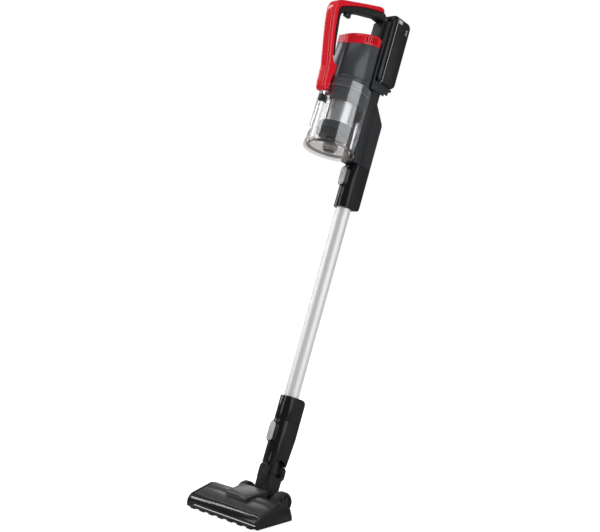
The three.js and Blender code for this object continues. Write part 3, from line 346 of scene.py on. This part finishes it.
def deselectAll():
    if bpy.context.object and bpy.context.object.mode != "OBJECT":
        bpy.ops.object.mode_set(mode="OBJECT")
    bpy.ops.object.select_all(action="DESELECT")


def pick(piece):
    deselectAll()
    piece.select_set(True)
    bpy.context.view_layer.objects.active = piece


def editAll(piece):
    pick(piece)
    bpy.ops.object.mode_set(mode="EDIT")
    bpy.ops.mesh.select_all(action="SELECT")


def objectMode():
    bpy.ops.object.mode_set(mode="OBJECT")


def named(name):
    piece = bpy.context.object
    piece.name = name
    piece.data.name = name
    bpy.ops.object.transform_apply(location=True, rotation=True, scale=True)
    return piece


def modify(piece, kind, **settings):
    pick(piece)
    modifier = piece.modifiers.new(kind.title(), kind)
    for key, value in settings.items():
        setattr(modifier, key, value)
    bpy.ops.object.modifier_apply(modifier=modifier.name)
    return piece


def rounded(piece, width, segments=2, angle=35, clamp=True):
    return modify(piece, "BEVEL", width=width, segments=segments, limit_method="ANGLE",
                  angle_limit=math.radians(angle), use_clamp_overlap=clamp)


# A turned piece: one circle of points, extruded and resized from ring to ring up its axis.
def turned(name, rings, sides, loop, axis):
    deselectAll()
    radius, height = rings[0]
    bpy.ops.mesh.primitive_circle_add(vertices=sides, radius=radius, location=(0, 0, height))
    piece = named(name)
    editAll(piece)
    for nextRadius, nextHeight in rings[1:] + (rings[:1] if loop else []):
        bpy.ops.mesh.extrude_region_move(TRANSFORM_OT_translate={"value": (0, 0, nextHeight - height)})
        share = nextRadius / radius
        bpy.ops.transform.resize(value=(share, share, 1), center_override=(0, 0, nextHeight))
        radius, height = nextRadius, nextHeight
    bpy.ops.mesh.select_all(action="SELECT")
    bpy.ops.mesh.remove_doubles(threshold=1e-7)
    if not loop:
        bpy.ops.mesh.fill_holes(sides=0)
    bpy.ops.mesh.select_all(action="SELECT")
    bpy.ops.mesh.normals_make_consistent(inside=False)
    objectMode()
    if axis != "Z":
        put(piece, Matrix.Rotation(math.pi / 2, 4, "Y" if axis == "X" else "X"))
    return piece


def block(name, low, high, width, segments):
    deselectAll()
    middle = [(a + b) / 2 for a, b in zip(low, high)]
    size = [b - a for a, b in zip(low, high)]
    bpy.ops.mesh.primitive_cube_add(size=1, location=middle, scale=size)
    piece = named(name)
    return rounded(piece, width, segments) if width else piece


def put(piece, place):
    pick(piece)
    piece.matrix_world = place @ piece.matrix_world
    bpy.ops.object.transform_apply(location=True, rotation=True, scale=True)
    return piece


def copied(piece, name):
    pick(piece)
    bpy.ops.object.duplicate(linked=False)
    twin = bpy.context.object
    twin.name = name
    twin.data.name = name
    return twin


def joined(pieces):
    pick(pieces[0])
    for piece in pieces:
        piece.select_set(True)
    bpy.ops.object.join()
    return pieces[0]


# Copies of one piece, turned round the Z axis and joined.
def aroundAxis(piece, count, start=0.0):
    step = 360 / count
    copies = [copied(piece, piece.name + "Copy") for _ in range(count - 1)]
    for index, twin in enumerate([piece] + copies):
        put(twin, Matrix.Rotation(math.radians(start + index * step), 4, "Z"))
    return joined([piece] + copies)


# Copies of one piece, each moved on by a step, and joined.
def inRow(piece, count, step):
    copies = [copied(piece, piece.name + "Copy") for _ in range(count - 1)]
    for index, twin in enumerate(copies):
        put(twin, Matrix.Translation(Vector(step) * (index + 1)))
    return joined([piece] + copies)


def cutOut(piece, *cutters):
    for cutter in cutters:
        modify(piece, "BOOLEAN", object=cutter, operation="DIFFERENCE", solver="EXACT")
        bpy.data.objects.remove(cutter)
    return piece


def unite(piece, *others):
    for other in others:
        modify(piece, "BOOLEAN", object=other, operation="UNION", solver="EXACT")
        bpy.data.objects.remove(other)
    return piece


# The same makers, told their sizes in millimetres.
def lathe(name, rings, sides=96, loop=True, axis="Z"):
    return turned(name, [(radius * mm, height * mm) for radius, height in rings], sides, loop, axis)


def slab(name, x, y, z, width=0.0, segments=2):
    low, high = zip(x, y, z)
    return block(name, [value * mm for value in low], [value * mm for value in high], width * mm, segments)


def shift(piece, x=0, y=0, z=0):
    return put(piece, Matrix.Translation((x * mm, y * mm, z * mm)))


# A copy of a frame node with its triangles merged, its flats made whole and its edges rounded.
def refined(node, name, width, segments=2, angle=35, clamp=False):
    mesh = nodes[node].data.copy()
    mesh.materials.clear()
    piece = bpy.data.objects.new(name, mesh)
    bpy.context.scene.collection.objects.link(piece)
    editAll(piece)
    bpy.ops.mesh.remove_doubles(threshold=2e-6)
    bpy.ops.mesh.dissolve_limited(angle_limit=math.radians(1.5))
    objectMode()
    if width:
        rounded(piece, width, segments, angle, clamp)
    return piece


def fit(piece, finish, body, slot, *replacing, smooth=35):
    piece.data.materials.clear()
    piece.data.materials.append(finishes[finish])
    pick(piece)
    bpy.ops.object.shade_smooth_by_angle(angle=math.radians(smooth))
    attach(piece, body)
    if replacing:
        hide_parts(*replacing)
    return piece


def dress(finish, *names):
    for name in names:
        mesh = nodes[name].data
        mesh.materials.clear()
        mesh.materials.append(finishes[finish])


# Frame nodes that only need rounded edges and a finish: node, name, finish, body, slot, edge width in mm.
plainPieces = [
    ("rear_column", "rearColumn", "mattBlack", "hand_unit", "matt_black", 0.8),
    ("battery_dock", "batteryDock", "mattGrey", "hand_unit", "matt_grey", 0.8),
    ("motor_cap", "motorCap", "red", "hand_unit", "red", 0.0),
    ("battery_release", "batteryRelease", "paleGrey", "battery_catch", "pale_grey", 1.2),
    ("bin_release", "binRelease", "mattBlack", "bin_catch", "matt_black", 1.2),
    ("lid_latch", "lidLatch", "mattGrey", "latch", "matt_grey", 0.8),
    ("wand_foot_front_shell", "wandFootFront", "glossBlack", "wand", "gloss_black", 0.6),
    ("wand_foot_rear_shell", "wandFootRear", "mattBlack", "wand", "matt_black", 0.8),
    ("wand_top_front_shell", "wandTopFront", "glossBlack", "wand", "gloss_black", 0.6),
    ("wand_top_rear_shell", "wandTopRear", "mattBlack", "wand", "matt_black", 0.8),
    ("neck_front_shell", "neckFront", "glossBlack", "neck", "gloss_black", 0.6),
    ("neck_rear_shell", "neckRear", "mattBlack", "neck", "matt_black", 0.6),
    ("neck_lower", "neckLower", "mattBlack", "swivel", "matt_black", 0.8),
    ("top_cover_front", "topCoverFront", "coverGrey", "head", "matt_grey", 0.9),
    ("top_cover_rear", "topCoverRear", "coverGrey", "head", "matt_grey", 0.4),
    ("head_base", "headBase", "mattBlack", "head", "matt_black", 0.4),
    ("bumper_strip", "bumperStrip", "mattBlack", "head", "matt_black", 0.5),
    ("hood", "hoodCover", "coverGrey", "head", "matt_grey", 1.6),
    ("handle_grip", "handleGrip", "mattBlack", "hand_unit", "matt_black", 0.8),
    ("power_trigger", "powerTrigger", "mattGrey", "trigger", "matt_grey", 1.6),
]


def addPlainPieces():
    for node, name, finish, body, slot, width in plainPieces:
        fit(refined(node, name, width * mm), finish, body, slot, node)
    # The window's arc has its facets rounded too, so its angle is low.
    window = refined("front_window", "frontWindow", 0.8 * mm, segments=4, angle=5, clamp=True)
    fit(window, "smoke", "head", "smoke", "front_window", smooth=60)
    print("refined pieces:", len(plainPieces) + 1)


dress("steel", "lid_hinge_pin", "motor_pulley")
dress("motorCan", "fan_motor")
dress("rubber", "drive_belt")
dress("foam", "pre_filter", "exhaust_filter")
dress("paleGrey", "impeller")
dress("mattBlack", "fan_cover", "brush_motor", "wheel_axle", "swivel_pin_front", "swivel_pin_rear")
dress("mattGrey", "inlet_pipe", "neck_pipe")
dress("wrap", "battery_cells")


# Dust bin. From here on the dictionaries are in millimetres, in the bin's, the stick's or the head's frame.
cup = {
    "radius": 60, "bore": 58, "low": 804.3, "high": 953,
    "ribHalf": 8, "ribFront": 70.5, "ribTop": 890.3,
    "bulgeHalf": 14, "bulgeFront": 72, "bulgeTop": 828.3,
    "lugInner": 8.3, "lugBack": 64, "lugLow": 794,
    "hingeY": -68, "hingeZ": 799, "pinBore": 1.8,
    "portZ": 904.3, "portRadius": 16.7, "frameRadius": 21.5, "frameBack": 61.4, "frameFront": 50,
}


def pinCutter():
    cutter = lathe("pinCutter", [(cup["pinBore"], -40), (cup["pinBore"], 40)], 24, False, "X")
    return shift(cutter, y=cup["hingeY"], z=cup["hingeZ"])


def addBinCup():
    radius, bore, low, high = cup["radius"], cup["bore"], cup["low"], cup["high"]
    piece = lathe("binCup", [
        (bore, low + 0.5), (bore + 0.5, low), (radius - 0.5, low), (radius, low + 0.5),
        (radius, high - 0.8), (radius - 0.6, high), (bore + 0.4, high), (bore, high - 0.5)])
    inside = 3 - bore  # the ribs run 3 mm past the wall, and the hollow trims them
    half, front = cup["ribHalf"], cup["ribFront"]
    rib = slab("cupRib", (-half, half), (-front, inside), (low + 4, cup["ribTop"]), 2.6, 3)
    half, front = cup["bulgeHalf"], cup["bulgeFront"]
    bulge = slab("cupBulge", (-half, half), (-front, inside), (low, cup["bulgeTop"]), 4, 4)
    lugs = [slab("cupLug", side, (-front, -cup["lugBack"]), (cup["lugLow"], low + 4), 1.2)
            for side in ((cup["lugInner"], half), (-half, -cup["lugInner"]))]
    port, frameBack, frameFront = cup["portRadius"], cup["frameBack"], cup["frameFront"]
    frameRing = lathe("cupFrame", [
        (port, -frameBack), (cup["frameRadius"], -frameBack),
        (cup["frameRadius"], -frameFront), (port, -frameFront)], 64, True, "Y")
    unite(piece, rib, bulge, *lugs, shift(frameRing, z=cup["portZ"]))
    hollow = lathe("cupHollow", [(bore - 0.02, low - 1), (bore - 0.02, high + 1)], 96, False)
    opening = lathe("cupPort", [(port - 0.05, -100), (port - 0.05, -20)], 64, False, "Y")
    cutOut(piece, hollow, shift(opening, z=cup["portZ"]), pinCutter())
    fit(put(piece, binPlace), "clear", "bin", "clear", "bin_cup")


lid = {
    "low": 791, "high": 804, "rim": 61.5, "bore": 56.5, "recess": 21, "grooves": (30, 38, 46, 53),
    "strapHalf": 7.7, "knuckle": 4, "ribs": 12, "hubRadius": 14, "teeth": 60,
}


def addBinLid():
    low, high, rim, bore, recess = lid["low"], lid["high"], lid["rim"], lid["bore"], lid["recess"]
    under = []
    for radius in lid["grooves"]:
        under += [(radius - 1.2, low), (radius - 0.7, low + 0.9),
                  (radius + 0.7, low + 0.9), (radius + 1.2, low)]
    piece = lathe("binLid", [
        (0.5, low + 3), (recess - 1, low + 3), (recess, low + 2.4), (recess + 1, low), *under,
        (rim - 2.6, low), (rim - 0.8, low + 0.9), (rim, low + 2.8), (rim, high - 0.6), (rim - 0.6, high),
        (bore + 0.6, high), (bore, high - 0.6), (bore, low + 5.6), (bore - 0.6, low + 5),
        (0.5, low + 6)], loop=False)
    half, knuckle, hingeY, hingeZ = lid["strapHalf"], lid["knuckle"], cup["hingeY"], cup["hingeZ"]
    strap = slab("lidStrap", (-half, half), (hingeY, 4 - rim), (hingeZ - knuckle, hingeZ), 0.4)
    barrel = lathe("lidKnuckle", [(knuckle, -half), (knuckle, half)], 32, False, "X")
    unite(piece, strap, shift(barrel, y=hingeY, z=hingeZ))
    cutOut(piece, pinCutter())
    rib = slab("lidRib", (-0.7, 0.7), (-bore + 8, -12), (low + 5.2, low + 7.2), 0.3)
    joined([piece, aroundAxis(rib, lid["ribs"])])
    fit(put(piece, binPlace), "clearTinted", "lid", "clear", "bin_lid")
    hub = lathe("lidHub", [
        (0.5, low + 0.9), (11, low + 0.9), (13.2, low + 1.5), (lid["hubRadius"], low + 2.9),
        (0.5, low + 2.95)], 64, False)
    fit(put(hub, binPlace), "glossBlack", "lid", "gloss_black")
    seal = lathe("lidSeal", [
        (51.4, low + 6.8), (51.7, low + 6.5), (55.8, low + 6.5), (56.2, low + 7),
        (56.2, low + 11.6), (55.8, low + 12), (51.7, low + 12), (51.4, low + 11.6)])
    tooth = slab("sealTooth", (-1.1, 1.1), (-51.8, -48.6), (low + 7, low + 11), 0.4)
    joined([seal, aroundAxis(tooth, lid["teeth"])])
    fit(put(seal, binPlace), "rubber", "lid", "rubber", "lid_seal")


separator = {
    "collarLow": 938, "collarHigh": 953, "collarBore": 55.3, "collarRadius": 57.7,
    "shroudLow": 909, "shroudHigh": 946, "shroudRadius": 53, "grooves": 6, "grooveStep": 3.4,
    "meshLow": 857, "meshHigh": 908.7, "meshRadius": 37, "meshWall": 1.2, "struts": 4, "strutStart": 92,
    "coneLow": 825, "coneHigh": 856.7, "coneRadius": 40, "fins": 28,
    "tubeLow": 801, "tubeHigh": 855, "tubeRadius": 17.5, "tubeBore": 15.5,
}


def addCollar():
    low, high = separator["collarLow"], separator["collarHigh"]
    bore, radius = separator["collarBore"], separator["collarRadius"]
    collar = lathe("binCollar", [
        (bore, low + 0.4), (bore + 0.4, low), (radius - 0.4, low), (radius, low + 0.4),
        (radius, low + 6), (radius - 0.6, low + 6.4), (radius - 0.6, low + 8), (radius, low + 8.4),
        (radius, high - 0.4), (radius - 0.4, high), (bore + 0.4, high), (bore, high - 0.4)])
    fit(put(collar, binPlace), "slate", "hand_unit", "matt_grey", "bin_collar")


def addShroud():
    low, high, radius = separator["shroudLow"], separator["shroudHigh"], separator["shroudRadius"]
    side = []
    for index in range(separator["grooves"]):
        height = low + 7.5 + index * separator["grooveStep"]
        side += [(radius, height), (radius - 1, height + 0.5),
                 (radius - 1, height + 1.5), (radius, height + 2)]
    shroud = lathe("separatorShroud", [
        (39, low + 3), (39, low + 0.4), (39.4, low), (43, low), (radius - 1, low + 5.4),
        (radius, low + 6.4), *side, (radius, high - 8.8), (55, high - 5), (55, high - 0.4),
        (54.6, high), (45.4, high), (45, high - 0.4), (47, low + 7)])
    fit(put(shroud, binPlace), "slate", "hand_unit", "matt_grey", "shroud")
    trim = lathe("shroudTrim", [
        (52.8, high - 8.7), (53.6, high - 8.5), (54.6, high - 6.8), (54.9, high - 5.4), (53.4, high - 6.4)])
    fit(put(trim, binPlace), "paleGrey", "hand_unit", "pale_grey")


def addSeparator():
    addCollar()
    addShroud()
    low, high, radius = separator["meshLow"], separator["meshHigh"], separator["meshRadius"]
    inner = radius - separator["meshWall"]
    screen = lathe("filterScreen", [(inner, low), (radius, low), (radius, high), (inner, high)], 128)
    fit(put(screen, binPlace), "sieve", "hand_unit", "steel", "filter_mesh")
    strut = slab("screenStrut", (-1.6, 1.6), (-radius - 0.9, -radius + 0.2), (low + 0.5, high - 0.3), 0.4)
    struts = aroundAxis(strut, separator["struts"], separator["strutStart"])
    fit(put(struts, binPlace), "slate", "hand_unit", "matt_grey")
    low, high, radius = separator["coneLow"], separator["coneHigh"], separator["coneRadius"]
    cone = lathe("cycloneCone", [
        (31, high - 0.4), (31, low + 26), (18.2, low + 2), (18, low + 1), (18.4, low), (34.4, low),
        (35, low + 0.6), (35, low + 12), (radius - 0.6, low + 13.8), (radius, low + 14.4),
        (radius, low + 21), (radius - 0.7, low + 21.5), (radius - 0.7, low + 23),
        (radius, low + 23.5), (radius, high - 0.7), (radius - 0.6, high), (31.4, high)])
    fin = slab("coneFin", (-0.6, 0.6), (-39, -34.6), (low + 1, low + 13.4), 0.2)
    joined([cone, aroundAxis(fin, separator["fins"])])
    fit(put(cone, binPlace), "mattGrey", "hand_unit", "matt_grey", "cyclone_cone")
    low, high = separator["tubeLow"], separator["tubeHigh"]
    radius, bore = separator["tubeRadius"], separator["tubeBore"]
    outlet = lathe("cycloneTube", [
        (bore, low + 0.5), (bore + 0.5, low), (radius + 0.4, low), (radius + 0.7, low + 1.5),
        (radius, low + 2.5), (radius, high - 0.4), (radius - 0.4, high), (bore + 0.4, high),
        (bore, high - 0.4)], 64)
    fit(put(outlet, binPlace), "glossBlack", "hand_unit", "matt_black", "cyclone_tube")


# The motor housing is built over-tall and trimmed by a sloping cutter.
housing = {
    "radius": 50, "wall": 2.4, "flange": 52.5, "inlet": 34, "low": 953.3, "high": 1074,
    "rib": 56.7, "ribHalf": 12, "top": 1055.3, "slope": 14.036,
}


def addMotorHousing():
    radius, flange, low, high = housing["radius"], housing["flange"], housing["low"], housing["high"]
    piece = lathe("motorHousing", [
        (flange - 0.7, low), (flange, low + 0.6), (flange, low + 4.2), (flange - 0.5, low + 4.8),
        (radius + 0.6, low + 5), (radius, low + 5.8), (radius, low + 13), (radius - 0.7, low + 13.4),
        (radius - 0.7, low + 14.6), (radius, low + 15), (radius, high)], 96, False)
    half = housing["ribHalf"]
    unite(piece, slab("housingRib", (-half, half), (-housing["rib"], -30), (low, high - 14), 3.5, 4))
    bore = radius - housing["wall"]
    cavity = lathe("housingCavity", [(bore, low + 4), (bore, high + 16)], 96, False)
    inlet = lathe("housingInlet", [(housing["inlet"], low - 1), (housing["inlet"], low + 5)], 64, False)
    slope = Matrix.Rotation(math.radians(housing["slope"]), 4, "X")
    top = slab("housingTop", (-80, 80), (-90, 90), (0, 60))
    put(top, Matrix.Translation((0, 0, housing["top"] * mm)) @ slope)
    cutOut(piece, cavity, inlet, top)
    rounded(piece, 0.4 * mm, 2, 50)
    fit(put(piece, binPlace), "slate", "hand_unit", "matt_grey", "motor_housing")


# The duct gets a parting line down both sides, and screws on its far side.
duct = {"half": 22, "seamY": -8, "low": 796, "high": 940, "depth": 0.6, "width": 0.9}
screw = {"head": 2.7, "pocket": 3.2, "depth": 0.9, "y": 10, "heights": (810, 852, 894)}


def addDuct():
    piece = refined("duct_shell", "ductShell", 1.2 * mm)
    inner, outer = duct["half"] - duct["depth"], duct["half"] + 4
    seam = (duct["seamY"] - duct["width"] / 2, duct["seamY"] + duct["width"] / 2)
    edges = [slab("ductSeam", side, seam, (duct["low"], duct["high"]))
             for side in ((inner, outer), (-outer, -inner))]
    cutOut(piece, *[put(edge, stickPlace) for edge in edges])
    addScrews(piece)
    fit(piece, "mattGrey", "hand_unit", "matt_grey", "duct_shell")


def addScrews(ductPiece):
    heads, pockets = [], []
    radius = screw["head"]
    across = -(duct["half"] - screw["depth"]) * mm
    for height in screw["heights"]:
        head = lathe("screwHead", [(radius, 0), (radius, 0.5), (radius - 0.5, 0.8)], 32, False)
        cutOut(head, slab("screwSlot", (-1.7, 1.7), (-0.3, 0.3), (0.4, 2)),
               slab("screwSlot", (-0.3, 0.3), (-1.7, 1.7), (0.4, 2)))
        pocket = lathe("screwPocket", [(screw["pocket"], 0), (screw["pocket"], 4)], 32, False)
        place = stickPlace @ Matrix.Translation((across, screw["y"] * mm, height * mm))
        place = place @ Matrix.Rotation(-math.pi / 2, 4, "Y")
        heads.append(put(head, place))
        pockets.append(put(pocket, place))
    cutOut(ductPiece, *pockets)
    fit(joined(heads), "steel", "hand_unit", "steel")


# Release buttons with finger grooves.
button = {
    "front": -36, "face": -33.2, "wandZ": 759, "neckZ": 145,
    "grooves": 5, "grooveHalf": 0.6, "step": 3.2, "half": 5, "depth": 0.5,
}


def addButtons():
    for node, name, body, height in (("wand_release", "wandRelease", "wand_button", button["wandZ"]),
                                     ("neck_release", "neckRelease", "neck_button", button["neckZ"])):
        groove = slab("groove", (-button["half"], button["half"]),
                      (button["front"], button["face"] + button["depth"]),
                      (-button["grooveHalf"], button["grooveHalf"]))
        low = height - button["step"] * (button["grooves"] - 1) / 2
        row = inRow(shift(groove, z=low), button["grooves"], (0, 0, button["step"] * mm))
        piece = cutOut(refined(node, name, 0), put(row, stickPlace))
        fit(piece, "paleGrey", body, "pale_grey", node)


# The head's end caps get a sunk panel in their widest flat.
endCap = {"margin": 4, "sink": 0.6, "lip": 0.5, "facing": 0.95, "share": 0.98}


def addEndCaps():
    for side, node, name in ((1, "end_cap_left", "endCapLeft"), (-1, "end_cap_right", "endCapRight")):
        piece = refined(node, name, 0)
        editAll(piece)
        bpy.ops.mesh.select_all(action="DESELECT")
        objectMode()
        outer = [face for face in piece.data.polygons if face.normal.x * side > endCap["facing"]]
        widest = max(face.area for face in outer)
        for face in outer:
            face.select = face.area > widest * endCap["share"]
        bpy.ops.object.mode_set(mode="EDIT")
        bpy.ops.mesh.select_mode(type="FACE")
        bpy.ops.mesh.inset(thickness=endCap["margin"] * mm, depth=0)
        bpy.ops.mesh.inset(thickness=endCap["lip"] * mm, depth=-endCap["sink"] * mm)
        bpy.ops.mesh.select_mode(type="VERT")
        objectMode()
        fit(piece, "mattBlack", "head", "matt_black", node)


# Ribs under the battery's shelf.
shelfRib = {"places": (-18, -6, 6, 18), "half": 1.1, "y": (6, 21), "z": (983, 992)}


def addShelfRibs():
    half = shelfRib["half"]
    ribs = [slab("shelfRib", (place - half, place + half), shelfRib["y"], shelfRib["z"], 0.5)
            for place in shelfRib["places"]]
    fit(put(joined(ribs), stickPlace), "mattGrey", "hand_unit", "matt_grey")


# The battery is two mouldings with a pale strip between them, which is a painted highlight where the
# parting line's edge catches the light, a tab on each side and a row of lamps.
battery = {
    "seamY": -20, "trim": 1.5,
    "tabSide": (28.5, 30.3), "tabY": (-17, -4), "tabZ": (1156, 1165),
    "lampSide": (29.6, 30.25), "lampY": (13, 19), "lampZ": 1150,
    "lampHalf": 1.1, "lampStep": 5, "lampCount": 3,
}


def addBattery():
    cut, highlightStripEnd = battery["seamY"], battery["seamY"] + battery["trim"]
    ahead = refined("battery_case", "batteryFace", 0)
    behind = copied(ahead, "batteryCase")
    # The pale middle slice is a painted highlight along the parting line, not a separate trim part.
    middle = copied(ahead, "batteryHighlightStrip")
    pieces = (
        (ahead, (-60, cut), "glossBlack", "gloss_black"),
        (middle, (cut, highlightStripEnd), "paleGrey", "pale_grey"),
        (behind, (highlightStripEnd, 60), "mattBlack", "matt_black"),
    )
    for piece, span, finish, slot in pieces:
        keep = put(slab("batteryKeep", (-50, 50), span, (960, 1220)), stickPlace)
        modify(piece, "BOOLEAN", object=keep, operation="INTERSECT", solver="EXACT")
        bpy.data.objects.remove(keep)
        rounded(piece, 0.25 * mm, 1, 50)
        fit(piece, finish, "battery", slot, *(("battery_case",) if piece == behind else ()))
    inner, outer = battery["tabSide"]
    tabs = [slab("batteryTab", side, battery["tabY"], battery["tabZ"], 0.7, 3)
            for side in ((inner, outer), (-outer, -inner))]
    fit(put(joined(tabs), stickPlace), "paleGrey", "battery", "pale_grey")
    half = battery["lampHalf"]
    lamp = slab("chargeLamp", battery["lampSide"], battery["lampY"], (-half, half), 0.25)
    lamps = inRow(lamp, battery["lampCount"], (0, 0, -battery["lampStep"] * mm))
    fit(put(shift(lamps, z=battery["lampZ"]), stickPlace), "lamp", "battery", "pale_grey")


# The handle's facets are melted into one smooth skin.
handle = {"voxel": 1.3, "passes": 12}


def addHandle():
    piece = refined("handle_shell", "handleShell", 0)
    modify(piece, "REMESH", mode="VOXEL", voxel_size=handle["voxel"] * mm)
    modify(piece, "SMOOTH", factor=0.5, iterations=handle["passes"])
    fit(piece, "red", "hand_unit", "red", "handle_shell", smooth=80)


tube = {"radius": 17.5, "bore": 16.2, "low": 178, "high": 791}


def addTube():
    radius, bore, low, high = tube["radius"], tube["bore"], tube["low"], tube["high"]
    piece = lathe("wandTube", [
        (bore, low + 0.3), (bore + 0.3, low), (radius - 0.3, low), (radius, low + 0.4),
        (radius, high - 0.4), (radius - 0.3, high), (bore + 0.3, high), (bore, high - 0.3)])
    fit(put(piece, stickPlace), "tube", "wand", "silver", "wand_tube")


hose = {"low": 40, "high": 84, "radius": 11, "bore": 8, "ribs": 11, "valley": 1.3, "back": 2}


def addHose():
    radius, bore, low, high = hose["radius"], hose["bore"], hose["low"], hose["high"]
    valley = radius - hose["valley"]
    pitch = (high - low) / hose["ribs"]
    skin = []
    for index in range(hose["ribs"]):
        height = low + pitch * index
        skin += [(valley, height + pitch * 0.02), (radius - 0.2, height + pitch * 0.28),
                 (radius, height + pitch * 0.5), (radius - 0.2, height + pitch * 0.72)]
    piece = lathe("swivelHose", [(bore, low), *skin, (valley, high), (bore, high)], 64)
    fit(put(shift(piece, y=hose["back"]), stickPlace), "rubber", "swivel", "rubber", "neck_hose")


wheel = {
    "radius": 24, "near": 50, "far": 70, "bore": 3.3, "tyre": 3.2, "treads": 44, "spokes": 6,
    "smallRadius": 5.5, "smallHalf": 4, "smallX": 84, "smallY": -28,
}


def addWheels():
    radius, near, far, bore = wheel["radius"], wheel["near"], wheel["far"], wheel["bore"]
    inner = radius - wheel["tyre"]
    smallRadius, smallHalf = wheel["smallRadius"], wheel["smallHalf"]
    for side, label in ((1, "left"), (-1, "right")):
        tyre = lathe(label + "Tyre", [
            (inner + 0.1, near + 2), (inner + 1, near + 1), (radius - 1.6, near + 1),
            (radius - 0.3, near + 3.4), (radius - 0.3, far - 3.4), (radius - 1.6, far - 1),
            (inner + 1, far - 1), (inner + 0.1, far - 2)], 96)
        tread = slab("tread", (-0.7, 0.7), (-radius, 1 - radius), (near + 4, far - 4), 0.2)
        joined([tyre, aroundAxis(tread, wheel["treads"])])
        hub = lathe(label + "Hub", [
            (bore, near), (inner - 1, near), (inner, near + 1), (inner, far - 1),
            (inner - 1, far), (inner - 3, far), (inner - 4, far - 4), (9, far - 4),
            (8, far - 1), (7, far), (bore, far)], 64)
        spoke = slab("hubSpoke", (-1, 1), (4.4 - inner, -8.4), (far - 4.6, far - 1), 0.4)
        joined([hub, aroundAxis(spoke, wheel["spokes"])])
        small = lathe(label + "SmallWheel", [
            (smallRadius - 0.8, -smallHalf), (smallRadius, 0.8 - smallHalf),
            (smallRadius, smallHalf - 0.8), (smallRadius - 0.8, smallHalf)], 48, False)
        turn = Matrix.Rotation(side * math.pi / 2, 4, "Y")
        atAxle = headPlace @ Matrix.Translation((0, axleBack, radius * mm)) @ turn
        fit(put(tyre, atAxle), "rubber", label + "_wheel", "rubber", "wheel_" + label)
        fit(put(hub, atAxle), "mattGrey", label + "_wheel", "matt_black", "wheel_" + label)
        across = side * wheel["smallX"] * mm
        smallPlace = Matrix.Translation((across, wheel["smallY"] * mm, smallRadius * mm))
        put(small, headPlace @ smallPlace @ turn)
        fit(small, "mattGrey", label + "_small_wheel", "matt_grey", "small_wheel_" + label)


# The brush roller is a turned core with tufts set in four spirals.
roller = {
    "half": 111.7, "core": 10, "stub": 4, "stubEnd": 118, "tip": 12.9, "back": -65, "height": 15.2,
    "spirals": 4, "tufts": 46, "tuftHalf": 99, "tuftSides": 7, "twist": 60,
}


def addRoller():
    half, core, stub, stubEnd = roller["half"], roller["core"], roller["stub"], roller["stubEnd"]
    piece = lathe("brushRoller", [
        (stub - 0.6, -stubEnd), (stub, 0.6 - stubEnd), (stub, -half), (core - 0.6, -half),
        (core, 0.6 - half), (core, half - 0.6), (core - 0.6, half), (stub, half),
        (stub, stubEnd - 0.6), (stub - 0.6, stubEnd)], 48, False)
    place = headPlace @ Matrix.Translation((0, roller["back"] * mm, roller["height"] * mm))
    place = place @ Matrix.Rotation(math.pi / 2, 4, "Y")
    tip, tuftHalf, twist = roller["tip"], roller["tuftHalf"], math.radians(roller["twist"])
    tufts = []
    for index in range(roller["tufts"]):
        along = (index / (roller["tufts"] - 1) * 2 - 1) * tuftHalf
        tuft = lathe("tuft", [(1.15, core - 0.6), (1.5, core + 1.4), (1.7, tip - 0.3), (1.3, tip)],
                     roller["tuftSides"], False, "Y")
        spin = Matrix.Rotation(along / tuftHalf * twist, 4, "Z")
        tufts.append(put(tuft, spin @ Matrix.Translation((0, 0, along * mm))))
    pile = joined(tufts)
    pile.name = "rollerBristles"
    aroundAxis(pile, roller["spirals"])
    fit(put(piece, place), "mattBlack", "roller", "bristle", "brush_roller")
    fit(put(pile, place), "pile", "roller", "bristle", "brush_roller")


def addFloor():
    deselectAll()
    height = cadBox[0].z - floor["gap"]
    bpy.ops.mesh.primitive_plane_add(size=floor["size"], location=(0, 0, height))
    piece = named("studioFloor")
    finish = Finish("paleFloor", Roughness=0.8, Emission_Strength=floor["glow"])
    cloud = finish.noise(3, 2)
    finish.feed("Base Color", finish.blend(cloud, rgb(0.78, 0.78, 0.78), rgb(0.8, 0.8, 0.8)))
    ray = finish.node("ShaderNodeLightPath", output="Is Camera Ray")
    finish.feed("Emission Color", finish.blend(ray, rgb(0, 0, 0), rgb(1, 1, 1)))
    piece.data.materials.append(finish.material)


addCamera()
addLights()
print("camera and lights placed")
addPlainPieces()
addBinCup()
addBinLid()
addSeparator()
print("dust bin made")
addMotorHousing()
addDuct()
addBattery()
addHandle()
addShelfRibs()
print("hand unit made")
addButtons()
addEndCaps()
addTube()
addHose()
addWheels()
addRoller()
print("tube, wheels and roller made")
addFloor()
